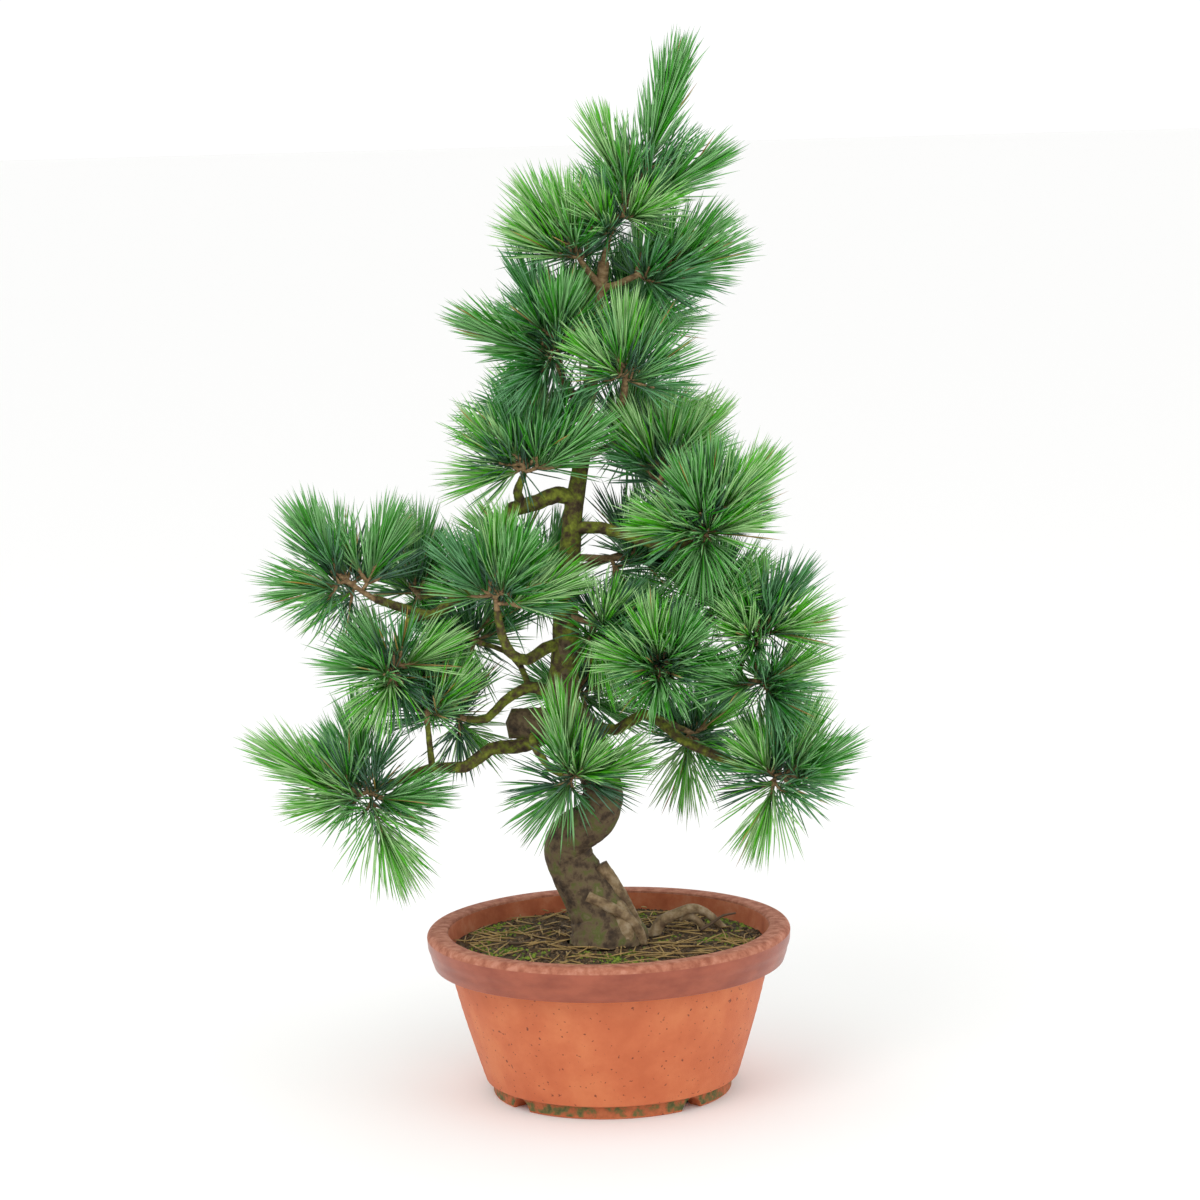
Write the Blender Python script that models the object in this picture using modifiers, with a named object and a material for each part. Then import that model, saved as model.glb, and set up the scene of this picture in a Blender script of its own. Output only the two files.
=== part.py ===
"""A potted Japanese white pine: a small tree with a winding trunk, in a round terracotta training pot.

Every size in the tables is in millimetres. The tree is laid out round the pot's axis, with the viewer on
the -Y side, and is then moved so that the origin lies under the middle of the whole plant.

A direction is given as the viewer sees it: turn is 0 to the right, 90 up and 180 to the left, and back
says how many degrees it leans away from the viewer. A limb is a chain of legs of (length, turn, back).
"""

import math
import random

import bmesh
import bpy
import numpy as np
from mathutils import Matrix, Vector

MM = 0.001
GAP = 0.3                       # clear space between neighbouring solids

# Pot
POT_HEIGHT = 118.7
RIM_RADIUS = 130.0
BAND_FOOT = 93.4                # height of the rim band's lower edge
BAND_FOOT_RADIUS = 125.8
BODY_TOP_RADIUS = 114.2
BODY_FOOT_RADIUS = 90.6
FOOT_RING_HEIGHT = 9.4
FOOT_RING_RADIUS = 85.4
FOOT_RING_INNER = 72.0
WALL = 11.5
FLOOR_TOP = 17.0
DRAIN_RADIUS = 15.0
LIP_INNER_RADIUS = 114.6
POT_STEPS = 36
NOTCH_RADIUS = 8.6              # the four arches cut through the foot ring
NOTCH_COUNT = 4
NOTCH_TURN = 40.5
NOTCH_SIDES = 12

# Soil
GROUND = 107.5                  # level of the soil round the trunk
SOIL_FLAT_RADIUS = 92.0
SOIL_EDGE = 104.6

# Trunk
LEAN = -1.5                     # turn of the whole tree in its pot, seen from the front
TRUNK_FOOT = (-1.0, 0.0, 109.0)
TRUNK_LEGS = (
    (19, 105, 5), (21, 120, 5), (21, 120, 5), (14, 100, -5), (13, 55, -20), (17, 40, -15), (17, 70, -10),
    (15, 100, 5), (17, 115, 20), (18, 120, 15), (18, 120, 5), (18, 95, -5), (26, 85, -5), (36, 90, -5),
    (36, 85, 0), (32, 85, 0), (32, 80, 5), (32, 85, 5), (39, 80, -5), (39, 85, 0), (30, 85, 0),
)
TRUNK_TIP_RADIUS = 3.8
TRUNK_FOOT_RADIUS = 19.4
TRUNK_TAPER = 1.75              # power of the taper
FLARE = 10.0                    # how far the foot stands out, and the height over which that fades
FLARE_HEIGHT = 16.0
KNEE_SWELL = 3.2                # swelling where the old stub leaves, 148 mm above the soil
KNEE_HEIGHT = 148.0
KNEE_REACH = 17.0
TRUNK_SIDES = 11
BURIED = 14.0                   # length that is cut away at soil level

# Surface roots: where on the foot they start, root and tip radius, legs
ROOTS = (
    ((-14.0, -14.0, 143.0), 4.2, 3.4, ((18, -25, -10), (13, -30, -5), (14, -50, 5), (16, -75, 10))),
    ((-4.5, -2.0, 163.0), 5.2, 5.6, ((18, -57, 0), (18, -62, 0), (24, -65, -5))),
    ((6.0, -8.0, 134.0), 6.5, 6.0, ((14, -60, -35), (22, -85, -10))),
    ((8.0, 8.0, 108.0), 5.0, 2.6, ((22, 0, 8), (13, 50, 10), (12, 25, 12), (13, 15, 20), (13, -25, 20), (18, -45, 15))),
    ((50.0, 20.0, 118.0), 2.8, 2.2, ((9, 5, 10), (9, -35, 5), (14, -55, 5))),
)
ROOT_SIDES = 5

# Limbs: parent, share of the parent's length where it leaves, root radius, tip radius, legs
LIMB_SIDES = 5
LIMBS = {
    "old_stub": ("trunk", 0.34, 14.5, 10.0, ((22, 175, 20), (27, 175, 5))),
    "low_left": ("old_stub", 0.34, 5.6, 2.6, (
        (16, -145, -5), (16, -165, -5), (19, 180, -25), (22, -145, -10), (23, 180, -5), (25, -160, -5),
        (15, -160, -5))),
    "low_left_rise": ("low_left", 0.71, 2.4, 1.9, ((18, 95, -15), (16, 95, -10))),
    "front_low": ("old_stub", 0.66, 3.4, 2.2, ((19, -90, -60), (16, -55, -50), (13, -45, -40), (11, -20, -30))),
    "left_second": ("trunk", 0.40, 4.6, 2.4, (
        (13, 175, 0), (12, 170, 0), (20, -150, -5), (17, -135, -10), (14, 180, 0))),
    "left_second_back": ("left_second", 0.32, 2.2, 1.7, ((20, 115, 45), (23, 145, 50), (22, 170, 45))),
    "left_mid": ("trunk", 0.47, 4.6, 2.6, (
        (17, -170, -30), (16, -150, -30), (15, 155, -35), (17, 115, -20), (18, 100, -10))),
    "left_shoulder": ("trunk", 0.67, 5.8, 5.2, ((13, 160, -10), (16, -160, -10), (15, -165, -5))),
    "left_arm": ("left_shoulder", 1.0, 5.0, 2.8, (
        (18, -115, 5), (21, -115, 10), (24, -125, 0), (21, -140, -10), (14, -150, -20), (18, 165, -10),
        (23, 160, -10))),
    "left_arm_drop": ("left_arm", 0.71, 3.2, 2.4, ((15, -170, -20), (15, -120, -20), (13, -105, -20))),
    "left_arm_back": ("left_arm", 0.54, 3.4, 2.4, ((20, 175, 50), (21, -160, 45))),
    "shoulder_up": ("left_shoulder", 0.88, 3.8, 2.5, ((14, 110, -35), (12, 70, -20))),
    "right_upper": ("trunk", 0.63, 4.4, 3.0, ((22, 5, -20), (28, -15, -25), (25, -10, -25), (16, 10, -10))),
    "right_rise": ("right_upper", 0.92, 3.0, 2.4, ((20, 110, 30), (23, 115, 30))),
    "right_mid": ("trunk", 0.46, 5.4, 2.8, (
        (40, -20, 30), (29, -10, -10), (22, 20, -30), (21, 50, -20), (24, 65, -15))),
    "right_mid_front": ("right_mid", 0.46, 3.0, 2.2, ((26, -5, -70), (30, 65, -70))),
    "right_out": ("right_mid", 0.70, 3.4, 2.4, ((21, -30, -35), (23, -10, -35), (16, 5, -20))),
    "right_out_rise": ("right_out", 0.83, 2.6, 2.0, ((16, 80, -15), (19, 55, -10))),
    "right_low": ("trunk", 0.39, 4.0, 3.0, (
        (36, -45, 35), (19, -20, 15), (25, 35, -20), (21, -25, -35), (18, -35, -30), (24, -20, -30),
        (24, -20, -20))),
    "right_low_side": ("right_low", 0.52, 2.8, 2.0, ((24, -35, 55), (21, -30, 45))),
    "upper_left": ("trunk", 0.81, 3.6, 2.4, ((10, 165, -5), (13, 130, -10), (16, 100, -10))),
    "upper_right": ("trunk", 0.75, 3.4, 2.4, ((23, 45, -25), (21, 50, -30), (15, 80, -25))),
}

# Masses of foliage: the limb whose tip carries the stem (or the share of the trunk where it leaves), the
# stem's legs, its long shoots of (share of the stem, length, turn, back), and how many the whorl rule adds
MASSES = {
    "low_left": ("low_left", 1.0, ((11, -165, -20),), (
        (1.0, 55, 155, -15), (0.7, 29, -170, -35), (0.6, 40, -70, -15), (0.2, 30, -5, -25), (0.1, 37, 100, 25),
        (0.3, 41, 155, 45)), 0),
    "low_left_rise": ("low_left_rise", 1.0, ((8, 85, -15),), (
        (1.0, 17, 75, -10), (0.8, 23, 40, -30), (0.8, 19, 140, 40), (0.6, 24, 15, 70)), 0),
    "front_low": ("front_low", 1.0, ((7, 15, -30),), (
        (0.5, 37, 98, -20), (1.0, 26, 12, -20), (0.7, 24, 50, -60), (0.8, 20, -125, 10)), 0),
    "left_second": ("left_second", 1.0, ((8, 165, 30),), (
        (1.0, 22, 150, 40), (0.8, 28, 115, 55), (0.5, 25, -65, 45)), 0),
    "left_second_back": ("left_second_back", 1.0, ((10, 160, 35),), (
        (1.0, 23, 165, 35), (0.6, 27, -130, 45), (0.7, 19, 100, 5), (0.7, 27, 15, 60)), 0),
    "left_mid": ("left_mid", 1.0, ((11, 95, -20),), (
        (1.0, 24, 85, -15), (0.8, 28, 140, -25), (0.8, 36, 60, -40), (0.3, 38, 15, -20), (0.4, 31, 30, 35),
        (0.7, 27, 140, 60)), 0),
    "left_arm": ("left_arm", 1.0, ((25, 145, -10),), (
        (1.0, 32, 125, -15), (0.9, 29, -170, -30), (0.4, 35, 65, -10), (0.8, 29, 115, 40), (0.6, 27, -145, 40),
        (0.5, 34, 40, 35)), 0),
    "left_arm_drop": ("left_arm_drop", 1.0, ((7, -95, -15),), (
        (1.0, 22, 175, -30), (0.7, 26, 20, -25), (1.0, 24, -115, -50), (0.7, 25, 150, 50), (0.9, 20, -60, 30)), 0),
    "left_arm_back": ("left_arm_back", 1.0, ((8, 140, 45),), (
        (1.0, 25, 85, 10), (0.8, 27, 35, 40), (0.9, 26, 150, 45), (0.9, 33, -65, 70)), 0),
    "shoulder_up": ("shoulder_up", 1.0, ((8, 95, -15),), (
        (1.0, 24, 105, -10), (0.9, 24, 150, -20), (0.2, 45, 30, -25), (0.6, 38, 50, -5), (0.4, 32, 75, 45),
        (0.2, 18, -160, -5)), 0),
    "right_upper": ("right_upper", 1.0, ((20, 60, -10),), (
        (1.0, 24, 85, -15), (0.9, 29, 120, -40), (0.9, 27, 45, -25), (0.1, 34, 180, -35), (0.1, 26, -95, -40),
        (0.6, 44, 40, 20), (0.5, 22, 10, -35)), 0),
    "right_rise": ("right_rise", 1.0, ((15, 75, 10),), (
        (1.0, 23, 85, -5), (0.9, 27, 125, -20), (0.9, 30, 45, -5), (0.5, 25, 155, 50), (0.6, 30, 25, 50)), 0),
    "right_mid": ("right_mid", 1.0, ((9, 75, -10),), (
        (1.0, 18, 85, -20), (0.7, 22, 140, 40), (0.7, 28, 30, 40), (0.6, 27, 30, -65)), 0),
    "right_mid_front": ("right_mid_front", 1.0, ((15, 110, -70),), (
        (1.0, 29, 105, -45), (1.0, 24, 170, -40), (1.0, 31, 50, -50), (1.0, 24, -105, -60), (0.7, 21, 0, -35)), 0),
    "right_out": ("right_out", 1.0, ((9, 10, -15),), (
        (1.0, 16, 25, -20), (0.4, 40, 175, -40), (0.7, 22, -55, -50), (0.8, 26, -35, 55)), 0),
    "right_out_rise": ("right_out_rise", 1.0, ((11, 65, -10),), (
        (1.0, 19, 55, -5), (0.8, 22, 150, -40), (0.6, 24, 15, -40), (0.8, 23, 100, 50), (0.2, 34, 160, -65)), 0),
    "right_low": ("right_low", 1.0, ((28, -10, -15),), (
        (1.0, 27, 65, -15), (1.0, 28, 25, -25), (0.9, 26, 85, 30), (0.2, 24, 130, -45), (0.8, 26, -105, -20),
        (0.9, 28, -20, 50), (0.5, 25, 120, 55)), 0),
    "right_low_side": ("right_low_side", 1.0, ((11, -35, 45),), (
        (1.0, 24, 30, 30), (0.7, 31, -55, 60), (0.5, 27, -95, 15), (0.9, 28, 150, 55)), 0),
    "upper_left": ("upper_left", 1.0, ((13, 95, -15),), (
        (1.0, 33, 120, -10), (0.4, 45, 165, -15), (0.6, 28, 60, 30), (0.3, 35, -125, -45), (0.8, 33, 85, -50),
        (0.4, 31, 180, 40)), 0),
    "upper_right": ("upper_right", 1.0, ((7, 85, -15),), (
        (1.0, 23, 95, -15), (0.8, 26, 150, -40), (0.8, 22, 55, 10), (0.3, 19, 15, -10), (0.5, 26, 120, 45)), 0),
    "top_left": ("trunk", 0.965, ((13, 130, -15), (18, 125, -15)), (
        (1.0, 31, 130, -5), (0.9, 30, 105, -30), (0.9, 31, 160, -30), (0.8, 23, 65, 30), (0.9, 25, 165, 50)), 0),
    "top_right": ("trunk", 0.965, ((10, 10, -10), (19, 25, -15), (11, 10, -5)), (
        (1.0, 33, 10, -10), (0.9, 35, 30, 10), (0.7, 28, -15, -45), (0.6, 24, 55, 50)), 0),
    "leader": ("trunk", 1.0, ((19, 75, 0), (26, 60, 0)), (
        (1.0, 83, 70, 0), (1.0, 34, 115, -10), (0.9, 49, 25, -10), (0.7, 30, 15, -55), (0.6, 24, 125, 55),
        (0.9, 27, 35, 60), (0.5, 23, 145, -60)), 0),
    "back_low": ("trunk", 0.40, ((37, -45, 75), (33, 5, 75)), (), 4),
    "back_low_right": ("trunk", 0.47, ((54, -5, 55), (45, -10, 50)), (), 4),
    "back_mid_right": ("trunk", 0.57, ((54, 10, 50), (45, 10, 50)), (), 4),
    "back_mid_left": ("trunk", 0.54, ((41, 165, 65), (34, 145, 55)), (), 4),
    "back_high_right": ("trunk", 0.73, ((35, 15, 55), (33, 20, 50)), (), 5),
    "back_high_left": ("trunk", 0.76, ((29, 170, 55), (26, 155, 50)), (), 4),
    "back_upper_left": ("trunk", 0.86, ((23, 135, 60), (20, 130, 45)), (), 4),
    "back_upper_right": ("trunk", 0.90, ((22, 15, 55), (19, 35, 50)), (), 4),
    "mid_right": ("trunk", 0.59, ((31, -5, 30), (20, -5, 20)), (), 4),
    "front_mid": ("trunk", 0.515, ((25, -20, -45), (17, -10, -45)), (), 4),
}
MASS_SEED = 31
STEM_RADIUS = 2.0               # stem of a mass where it meets a limb's tip, and its growing end
STEM_END = 1.5
TRUNK_STEM_RADIUS = 2.6         # stem that leaves the trunk itself
STEM_CLEAR = 0.4                # least share of the stem for a shoot on a limb's stem, and on a trunk's
TRUNK_STEM_CLEAR = 0.5
BACKWARD_CLEAR = 0.75           # and for a shoot that points back along the stem
WHORL_SPLAY = 52.0              # angle between the stem and a side shoot of the whorl rule
WHORL_REACH = (22.0, 30.0)
LEADING_REACH = 24.0
SHOOT_RADIUS = 1.4              # bare part of a shoot, then the foot and the tip of its needled part
BRUSH_RADIUS = 2.8
SHOOT_TIP_RADIUS = 1.2
SHOOT_SAG = 0.07                # how far the middle of a shoot hangs below its ends, as a share of its length
TWIG_SIDES = 3
ROOM = 1.2                      # clear space that a shoot keeps to limbs and to shoots of other masses
SPREAD_ROUNDS = 12

# Sprays of needles that stand out of a shoot
BAND = 12.0                     # spacing of the rings of sprays, and the least number of rings
LEAST_BANDS = 3
BRUSH_LENGTH = 21.0             # needled part of a short shoot
PLUME_SHARE = 0.72              # needled share of a long shoot
SPRAY_LENGTH = 49.0
END_SPRAY = 0.86                # length of the spray that carries a shoot on, against the others
SPRAY_SPREAD = 0.07             # seeded difference in length, as a share
SPLAY_FOOT = 66.0               # angle from the shoot at the foot and at the tip of the needled part
SPLAY_TIP = 24.0
SPRAY_LIFT = 0.45               # how far sprays turn up to the light, and how far the end one does
END_LIFT = 0.25
SPRAY_TRIES = (1.0, 0.86, 0.72, 0.58, 0.44)
SPRAY_SAMPLES = (0.12, 0.3, 0.5, 0.7, 0.85, 1.0)
SPRAY_HALF_WIDTH = 3.2
CLEAR = 0.8                     # least distance from a spray to wood or to another shoot's space

TERRACOTTA = (0.560, 0.180, 0.075)
EARTH = (0.110, 0.070, 0.030)
BARK = (0.120, 0.080, 0.045)
NEEDLE_GREEN = (0.050, 0.240, 0.035)


def clear_scene():
    for old in list(bpy.data.objects):
        bpy.data.objects.remove(old, do_unlink=True)


def make_collection(name):
    made = bpy.data.collections.new(name)
    bpy.context.scene.collection.children.link(made)
    return made


def make_material(name, colour, roughness):
    material = bpy.data.materials.new(name)
    material.use_nodes = True
    shader = material.node_tree.nodes["Principled BSDF"]
    shader.inputs["Base Color"].default_value = (*colour, 1.0)
    shader.inputs["Roughness"].default_value = roughness
    shader.inputs["Metallic"].default_value = 0.0
    return material


def aim(turn, back):
    """Unit direction from the angle seen from the front and the lean away from the viewer."""
    t = math.radians(turn + LEAN)
    b = math.radians(back)
    return np.array((math.cos(t) * math.cos(b), math.sin(b), math.sin(t) * math.cos(b)))


def walk(start, legs):
    """The points reached one after another by a chain of legs."""
    points = [np.array(start, float)]
    for length, turn, back in legs:
        points.append(points[-1] + aim(turn, back) * length)
    return points


def smooth(points, per_leg):
    """A curve through the points: on each leg the Catmull-Rom cubic of the four points round it."""
    p = np.array(points, float)
    ends = np.vstack([2 * p[0] - p[1], p, 2 * p[-1] - p[-2]])
    t = (np.arange(per_leg) / per_leg)[:, None]
    runs = []
    for a, b, c, d in zip(ends, ends[1:], ends[2:], ends[3:]):
        runs.append(0.5 * (2 * b + (c - a) * t + (2 * a - 5 * b + 4 * c - d) * t**2 + (3 * b - a - 3 * c + d) * t**3))
    return np.vstack([*runs, p[-1:]])


def distances(path):
    """Distance along the path at each of its points."""
    return np.concatenate([[0.0], np.cumsum(np.linalg.norm(np.diff(path, axis=0), axis=1))])


def point_at(path, share):
    """The point at a share of the path's length."""
    along = distances(path)
    return np.array([np.interp(share * along[-1], along, path[:, axis]) for axis in range(3)])


def end_direction(path):
    last = path[-1] - path[-2]
    return last / np.linalg.norm(last)


def evened(path, count):
    """The path drawn again with points at even distances."""
    return np.array([point_at(path, share) for share in np.linspace(0.0, 1.0, count)])


def section_curve(sides):
    """A regular polygon of radius 1 mm, carried along a path to make a tube with that many sides."""
    name = f"section_{sides}"
    if name in bpy.data.objects:
        return bpy.data.objects[name]
    data = bpy.data.curves.new(name, "CURVE")
    spline = data.splines.new("POLY")
    spline.points.add(sides - 1)
    for k, point in enumerate(spline.points):
        angle = 2 * math.pi * k / sides
        point.co = (math.cos(angle) * MM, math.sin(angle) * MM, 0.0, 1.0)
    spline.use_cyclic_u = True
    made = bpy.data.objects.new(name, data)
    made.hide_render = True
    made.display_type = "WIRE"
    CUTTERS.objects.link(made)
    return made


def tube(name, path, radii, sides, collection):
    """A closed tube of changing radius along a path, as a mesh object."""
    data = bpy.data.curves.new(name, "CURVE")
    data.dimensions = "3D"
    data.bevel_mode = "OBJECT"
    data.bevel_object = section_curve(sides)
    data.use_fill_caps = True
    spline = data.splines.new("POLY")
    spline.points.add(len(path) - 1)
    for point, place, radius in zip(spline.points, path, radii):
        point.co = (*(place * MM), 1.0)
        point.radius = radius
    curve = bpy.data.objects.new(name + "_line", data)
    collection.objects.link(curve)
    graph = bpy.context.evaluated_depsgraph_get()
    mesh = bpy.data.meshes.new_from_object(curve.evaluated_get(graph))
    bpy.data.objects.remove(curve, do_unlink=True)
    body = bmesh.new()
    body.from_mesh(mesh)
    bmesh.ops.remove_doubles(body, verts=body.verts, dist=1e-6)
    bmesh.ops.recalc_face_normals(body, faces=body.faces)
    body.to_mesh(mesh)
    body.free()
    mesh.name = name
    made = bpy.data.objects.new(name, mesh)
    collection.objects.link(made)
    return made


def as_cutter(obj):
    obj.hide_render = True
    obj.display_type = "WIRE"
    return obj


def boolean(obj, operation, operand, solver="EXACT"):
    """Cuts with one object, or joins a whole collection."""
    modifier = obj.modifiers.new(operation.lower(), "BOOLEAN")
    modifier.operation = operation
    modifier.solver = solver
    if isinstance(operand, bpy.types.Collection):
        modifier.operand_type = "COLLECTION"
        modifier.collection = operand
    else:
        modifier.object = operand
    return modifier


def apply_modifiers(obj):
    graph = bpy.context.evaluated_depsgraph_get()
    mesh = bpy.data.meshes.new_from_object(obj.evaluated_get(graph))
    obj.modifiers.clear()
    obj.data = mesh


def keep_main_body(obj):
    """Drops loose scraps that a cut or a union leaves, and keeps the largest body."""
    body = bmesh.new()
    body.from_mesh(obj.data)
    unseen = set(body.verts)
    islands = []
    while unseen:
        front = [unseen.pop()]
        island = set(front)
        while front:
            vertex = front.pop()
            for edge in vertex.link_edges:
                other = edge.other_vert(vertex)
                if other in unseen:
                    unseen.remove(other)
                    island.add(other)
                    front.append(other)
        islands.append(island)
    main = max(islands, key=len)
    bmesh.ops.delete(body, geom=[v for v in body.verts if v not in main], context="VERTS")
    body.to_mesh(obj.data)
    body.free()


def finish(obj, material):
    """Gives a node its material and hangs it on the plant's empty."""
    obj.data.materials.clear()
    obj.data.materials.append(material)
    obj.parent = PLANT


def turned(name, profile, steps):
    """A profile of (radius, height) points, listed top to bottom on its outer side, turned round the Z axis."""
    mesh = bpy.data.meshes.new(name)
    count = len(profile)
    mesh.from_pydata([(r * MM, 0.0, z * MM) for r, z in profile], [(k, k + 1) for k in range(count - 1)], [])
    made = bpy.data.objects.new(name, mesh)
    PARTS.objects.link(made)
    screw = made.modifiers.new("turn", "SCREW")
    screw.steps = steps
    screw.render_steps = steps
    screw.use_merge_vertices = True
    screw.merge_threshold = 0.00005
    return made


def body_radius(height):
    """The pot's outer wall between its foot and the band: nearly straight, a little fuller at the top."""
    share = (height - FOOT_RING_HEIGHT) / (BAND_FOOT - FOOT_RING_HEIGHT)
    return BODY_FOOT_RADIUS + (BODY_TOP_RADIUS - BODY_FOOT_RADIUS) * (1.13 * share - 0.13 * share**3)


def inner_wall():
    """The pot's inside from the lip down to the floor, as (radius, height) points."""
    return [
        (LIP_INNER_RADIUS, POT_HEIGHT - 1.8),
        (LIP_INNER_RADIUS - 1.6, SOIL_EDGE),
        (body_radius(80.0) - WALL, 80.0),
        (body_radius(45.0) - WALL, 45.0),
        (body_radius(FLOOR_TOP + 6.0) - WALL, FLOOR_TOP + 6.0),
        (body_radius(FLOOR_TOP) - WALL - 5.0, FLOOR_TOP),
    ]


def make_pot():
    """Turned terracotta: a rounded lip over a plain band, a tapering wall, and a foot ring with four arches."""
    profile = [
        (LIP_INNER_RADIUS + 2.2, POT_HEIGHT - 0.3),
        (RIM_RADIUS - 5.0, POT_HEIGHT),
        (RIM_RADIUS - 1.2, POT_HEIGHT - 1.4),
        (RIM_RADIUS, POT_HEIGHT - 4.4),
        (BAND_FOOT_RADIUS + 0.9, BAND_FOOT + 3.0),
        (BAND_FOOT_RADIUS - 1.0, BAND_FOOT + 0.4),
        (BODY_TOP_RADIUS + 1.4, BAND_FOOT - 0.6),
        (body_radius(88.0), 88.0),
        (body_radius(64.0), 64.0),
        (body_radius(38.0), 38.0),
        (body_radius(FOOT_RING_HEIGHT + 2.6), FOOT_RING_HEIGHT + 2.6),
        (FOOT_RING_RADIUS + 1.4, FOOT_RING_HEIGHT),
        (FOOT_RING_RADIUS, 1.0),
        (FOOT_RING_RADIUS - 1.2, 0.0),
        (FOOT_RING_INNER, 0.0),
        (FOOT_RING_INNER - 1.5, FOOT_RING_HEIGHT - 3.4),
        (DRAIN_RADIUS, FOOT_RING_HEIGHT - 3.4),
        (DRAIN_RADIUS, FLOOR_TOP),
    ]
    profile.extend(reversed(inner_wall()))
    profile.append(profile[0])
    pot = turned("pot", profile, POT_STEPS)
    for k in range(NOTCH_COUNT):
        angle = math.radians(NOTCH_TURN + 360.0 * k / NOTCH_COUNT)
        reach = (FOOT_RING_RADIUS + FOOT_RING_INNER) / 2 * MM
        bpy.ops.mesh.primitive_cylinder_add(
            vertices=NOTCH_SIDES, radius=NOTCH_RADIUS * MM, depth=34.0 * MM,
            location=(math.cos(angle) * reach, math.sin(angle) * reach, 0.0),
            rotation=(0.0, math.pi / 2, angle))
        notch = as_cutter(bpy.context.object)
        notch.name = f"foot_notch_{k}"
        for owner in list(notch.users_collection):
            owner.objects.unlink(notch)
        CUTTERS.objects.link(notch)
        boolean(pot, "DIFFERENCE", notch)
    finish(pot, CLAY)


def make_soil():
    """The earth that fills the pot: flat round the trunk and falling a little towards the wall."""
    wall = [(r - GAP, z) for r, z in inner_wall()[1:-1]]
    floor_radius = inner_wall()[-1][0] - GAP
    top = [(0.0, GROUND), (SOIL_FLAT_RADIUS, GROUND)]
    profile = [*top, *wall, (floor_radius, FLOOR_TOP + GAP), (0.0, FLOOR_TOP + GAP)]
    finish(turned("soil", profile, POT_STEPS), SOIL)


def trunk_radius(height, whole):
    """Taper from foot to tip, with the flare at the foot and the swelling at the old stub added."""
    share = np.clip(height / whole, 0.0, 1.0)
    taper = TRUNK_TIP_RADIUS + (TRUNK_FOOT_RADIUS - TRUNK_TIP_RADIUS) * (1.0 - share) ** TRUNK_TAPER
    flare = FLARE * np.exp(-np.maximum(height, 0.0) / FLARE_HEIGHT)
    knee = KNEE_SWELL * np.exp(-(((height - KNEE_HEIGHT) / KNEE_REACH) ** 2))
    return taper + flare + knee


def widened(path, radii, extra):
    """The path and radii of a cutter that stands clear of a tube on all sides and past its tip."""
    longer = path.copy()
    longer[-1] = path[-1] + end_direction(path) * extra
    return longer, np.array(radii) + extra * 1.12


def make_trunk():
    """One limb from its flat cut at soil level to its tip, with the surface roots fused to its foot."""
    line = smooth(walk(TRUNK_FOOT, TRUNK_LEGS), 2)
    heights = line[:, 2] - GROUND
    radii = trunk_radius(heights, line[-1, 2] - GROUND)
    below = line[0] - np.array((0.0, 0.0, BURIED))
    path = np.vstack([below, line])
    radii = np.concatenate([[radii[0] + 2.0], radii])
    trunk = tube("trunk", path, radii, TRUNK_SIDES, PARTS)
    roots = make_collection("surface_roots")
    for k, (start, root, tip, legs) in enumerate(ROOTS):
        course = smooth(walk(start, legs), 2)
        tube(f"root_{k}", course, np.linspace(root, tip, len(course)), ROOT_SIDES, roots)
    boolean(trunk, "UNION", roots)
    bpy.ops.mesh.primitive_cube_add(size=1.0, location=(0.0, 0.0, (GROUND + GAP - 50.0) * MM))
    ground = as_cutter(bpy.context.object)
    ground.name = "ground_cutter"
    ground.scale = (0.4, 0.4, 0.1)
    for owner in list(ground.users_collection):
        owner.objects.unlink(ground)
    CUTTERS.objects.link(ground)
    boolean(trunk, "DIFFERENCE", ground)
    apply_modifiers(trunk)
    for root in list(roots.objects):
        bpy.data.objects.remove(root, do_unlink=True)
    bpy.data.collections.remove(roots)
    keep_main_body(trunk)
    trunk.data.shade_smooth()
    finish(trunk, WOOD)
    WOODS["trunk"] = (path, radii, TRUNK_SIDES)


def leaving(parent, share):
    """Where a limb or stem starts on its parent, and the short straight piece past a tip that it follows."""
    path = WOODS[parent][0]
    if share < 1.0:
        start = path[1:] if parent == "trunk" else path
        return [point_at(start, share)]
    ahead = end_direction(path)
    return [path[-1] + ahead * GAP, path[-1] + ahead * 2.5]


def limb_course(parent, share, legs, per_leg):
    """The smooth course of a limb or stem from its place on its parent."""
    first = leaving(parent, share)
    course = smooth(walk(first[-1], legs), per_leg)
    return np.vstack([*first[:-1], course])


def cut_clear(obj, parent, share):
    """Cuts the root of a limb back to 0.3 mm off its parent."""
    if share == 1.0:
        return
    path, radii, sides = WOODS[parent]
    fat_path, fat_radii = widened(path, radii, GAP)
    cutter = as_cutter(tube(f"{obj.name}_cutter", fat_path, fat_radii, sides, CUTTERS))
    boolean(obj, "DIFFERENCE", cutter)
    apply_modifiers(obj)
    keep_main_body(obj)
    bpy.data.objects.remove(cutter, do_unlink=True)


def make_limb(name, parent, share, root, tip, legs):
    """One tapering limb along its smooth course, cut clear of its parent."""
    path = limb_course(parent, share, legs, 2)
    radii = root + (tip - root) * distances(path) / distances(path)[-1]
    limb = tube(name, path, radii, LIMB_SIDES, PARTS)
    cut_clear(limb, parent, share)
    limb.data.shade_smooth()
    finish(limb, WOOD)
    WOODS[name] = (path, radii, LIMB_SIDES)


def whorl(stem, count, rng):
    """Side shoots evenly spaced round the stem's end, splayed from it, and one that carries the stem on."""
    ahead = Vector(end_direction(stem))
    across = ahead.orthogonal().normalized()
    first = rng.uniform(0.0, 360.0)
    shoots = [(1.0, LEADING_REACH, ahead)]
    for k in range(count - 1):
        round_stem = Matrix.Rotation(math.radians(first + 360.0 * k / (count - 1)), 3, ahead)
        side = round_stem @ across
        splay = math.radians(WHORL_SPLAY + rng.uniform(-8.0, 8.0))
        direction = ahead * math.cos(splay) + side * math.sin(splay)
        shoots.append((rng.uniform(0.6, 0.95), rng.uniform(*WHORL_REACH), direction))
    return shoots


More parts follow.
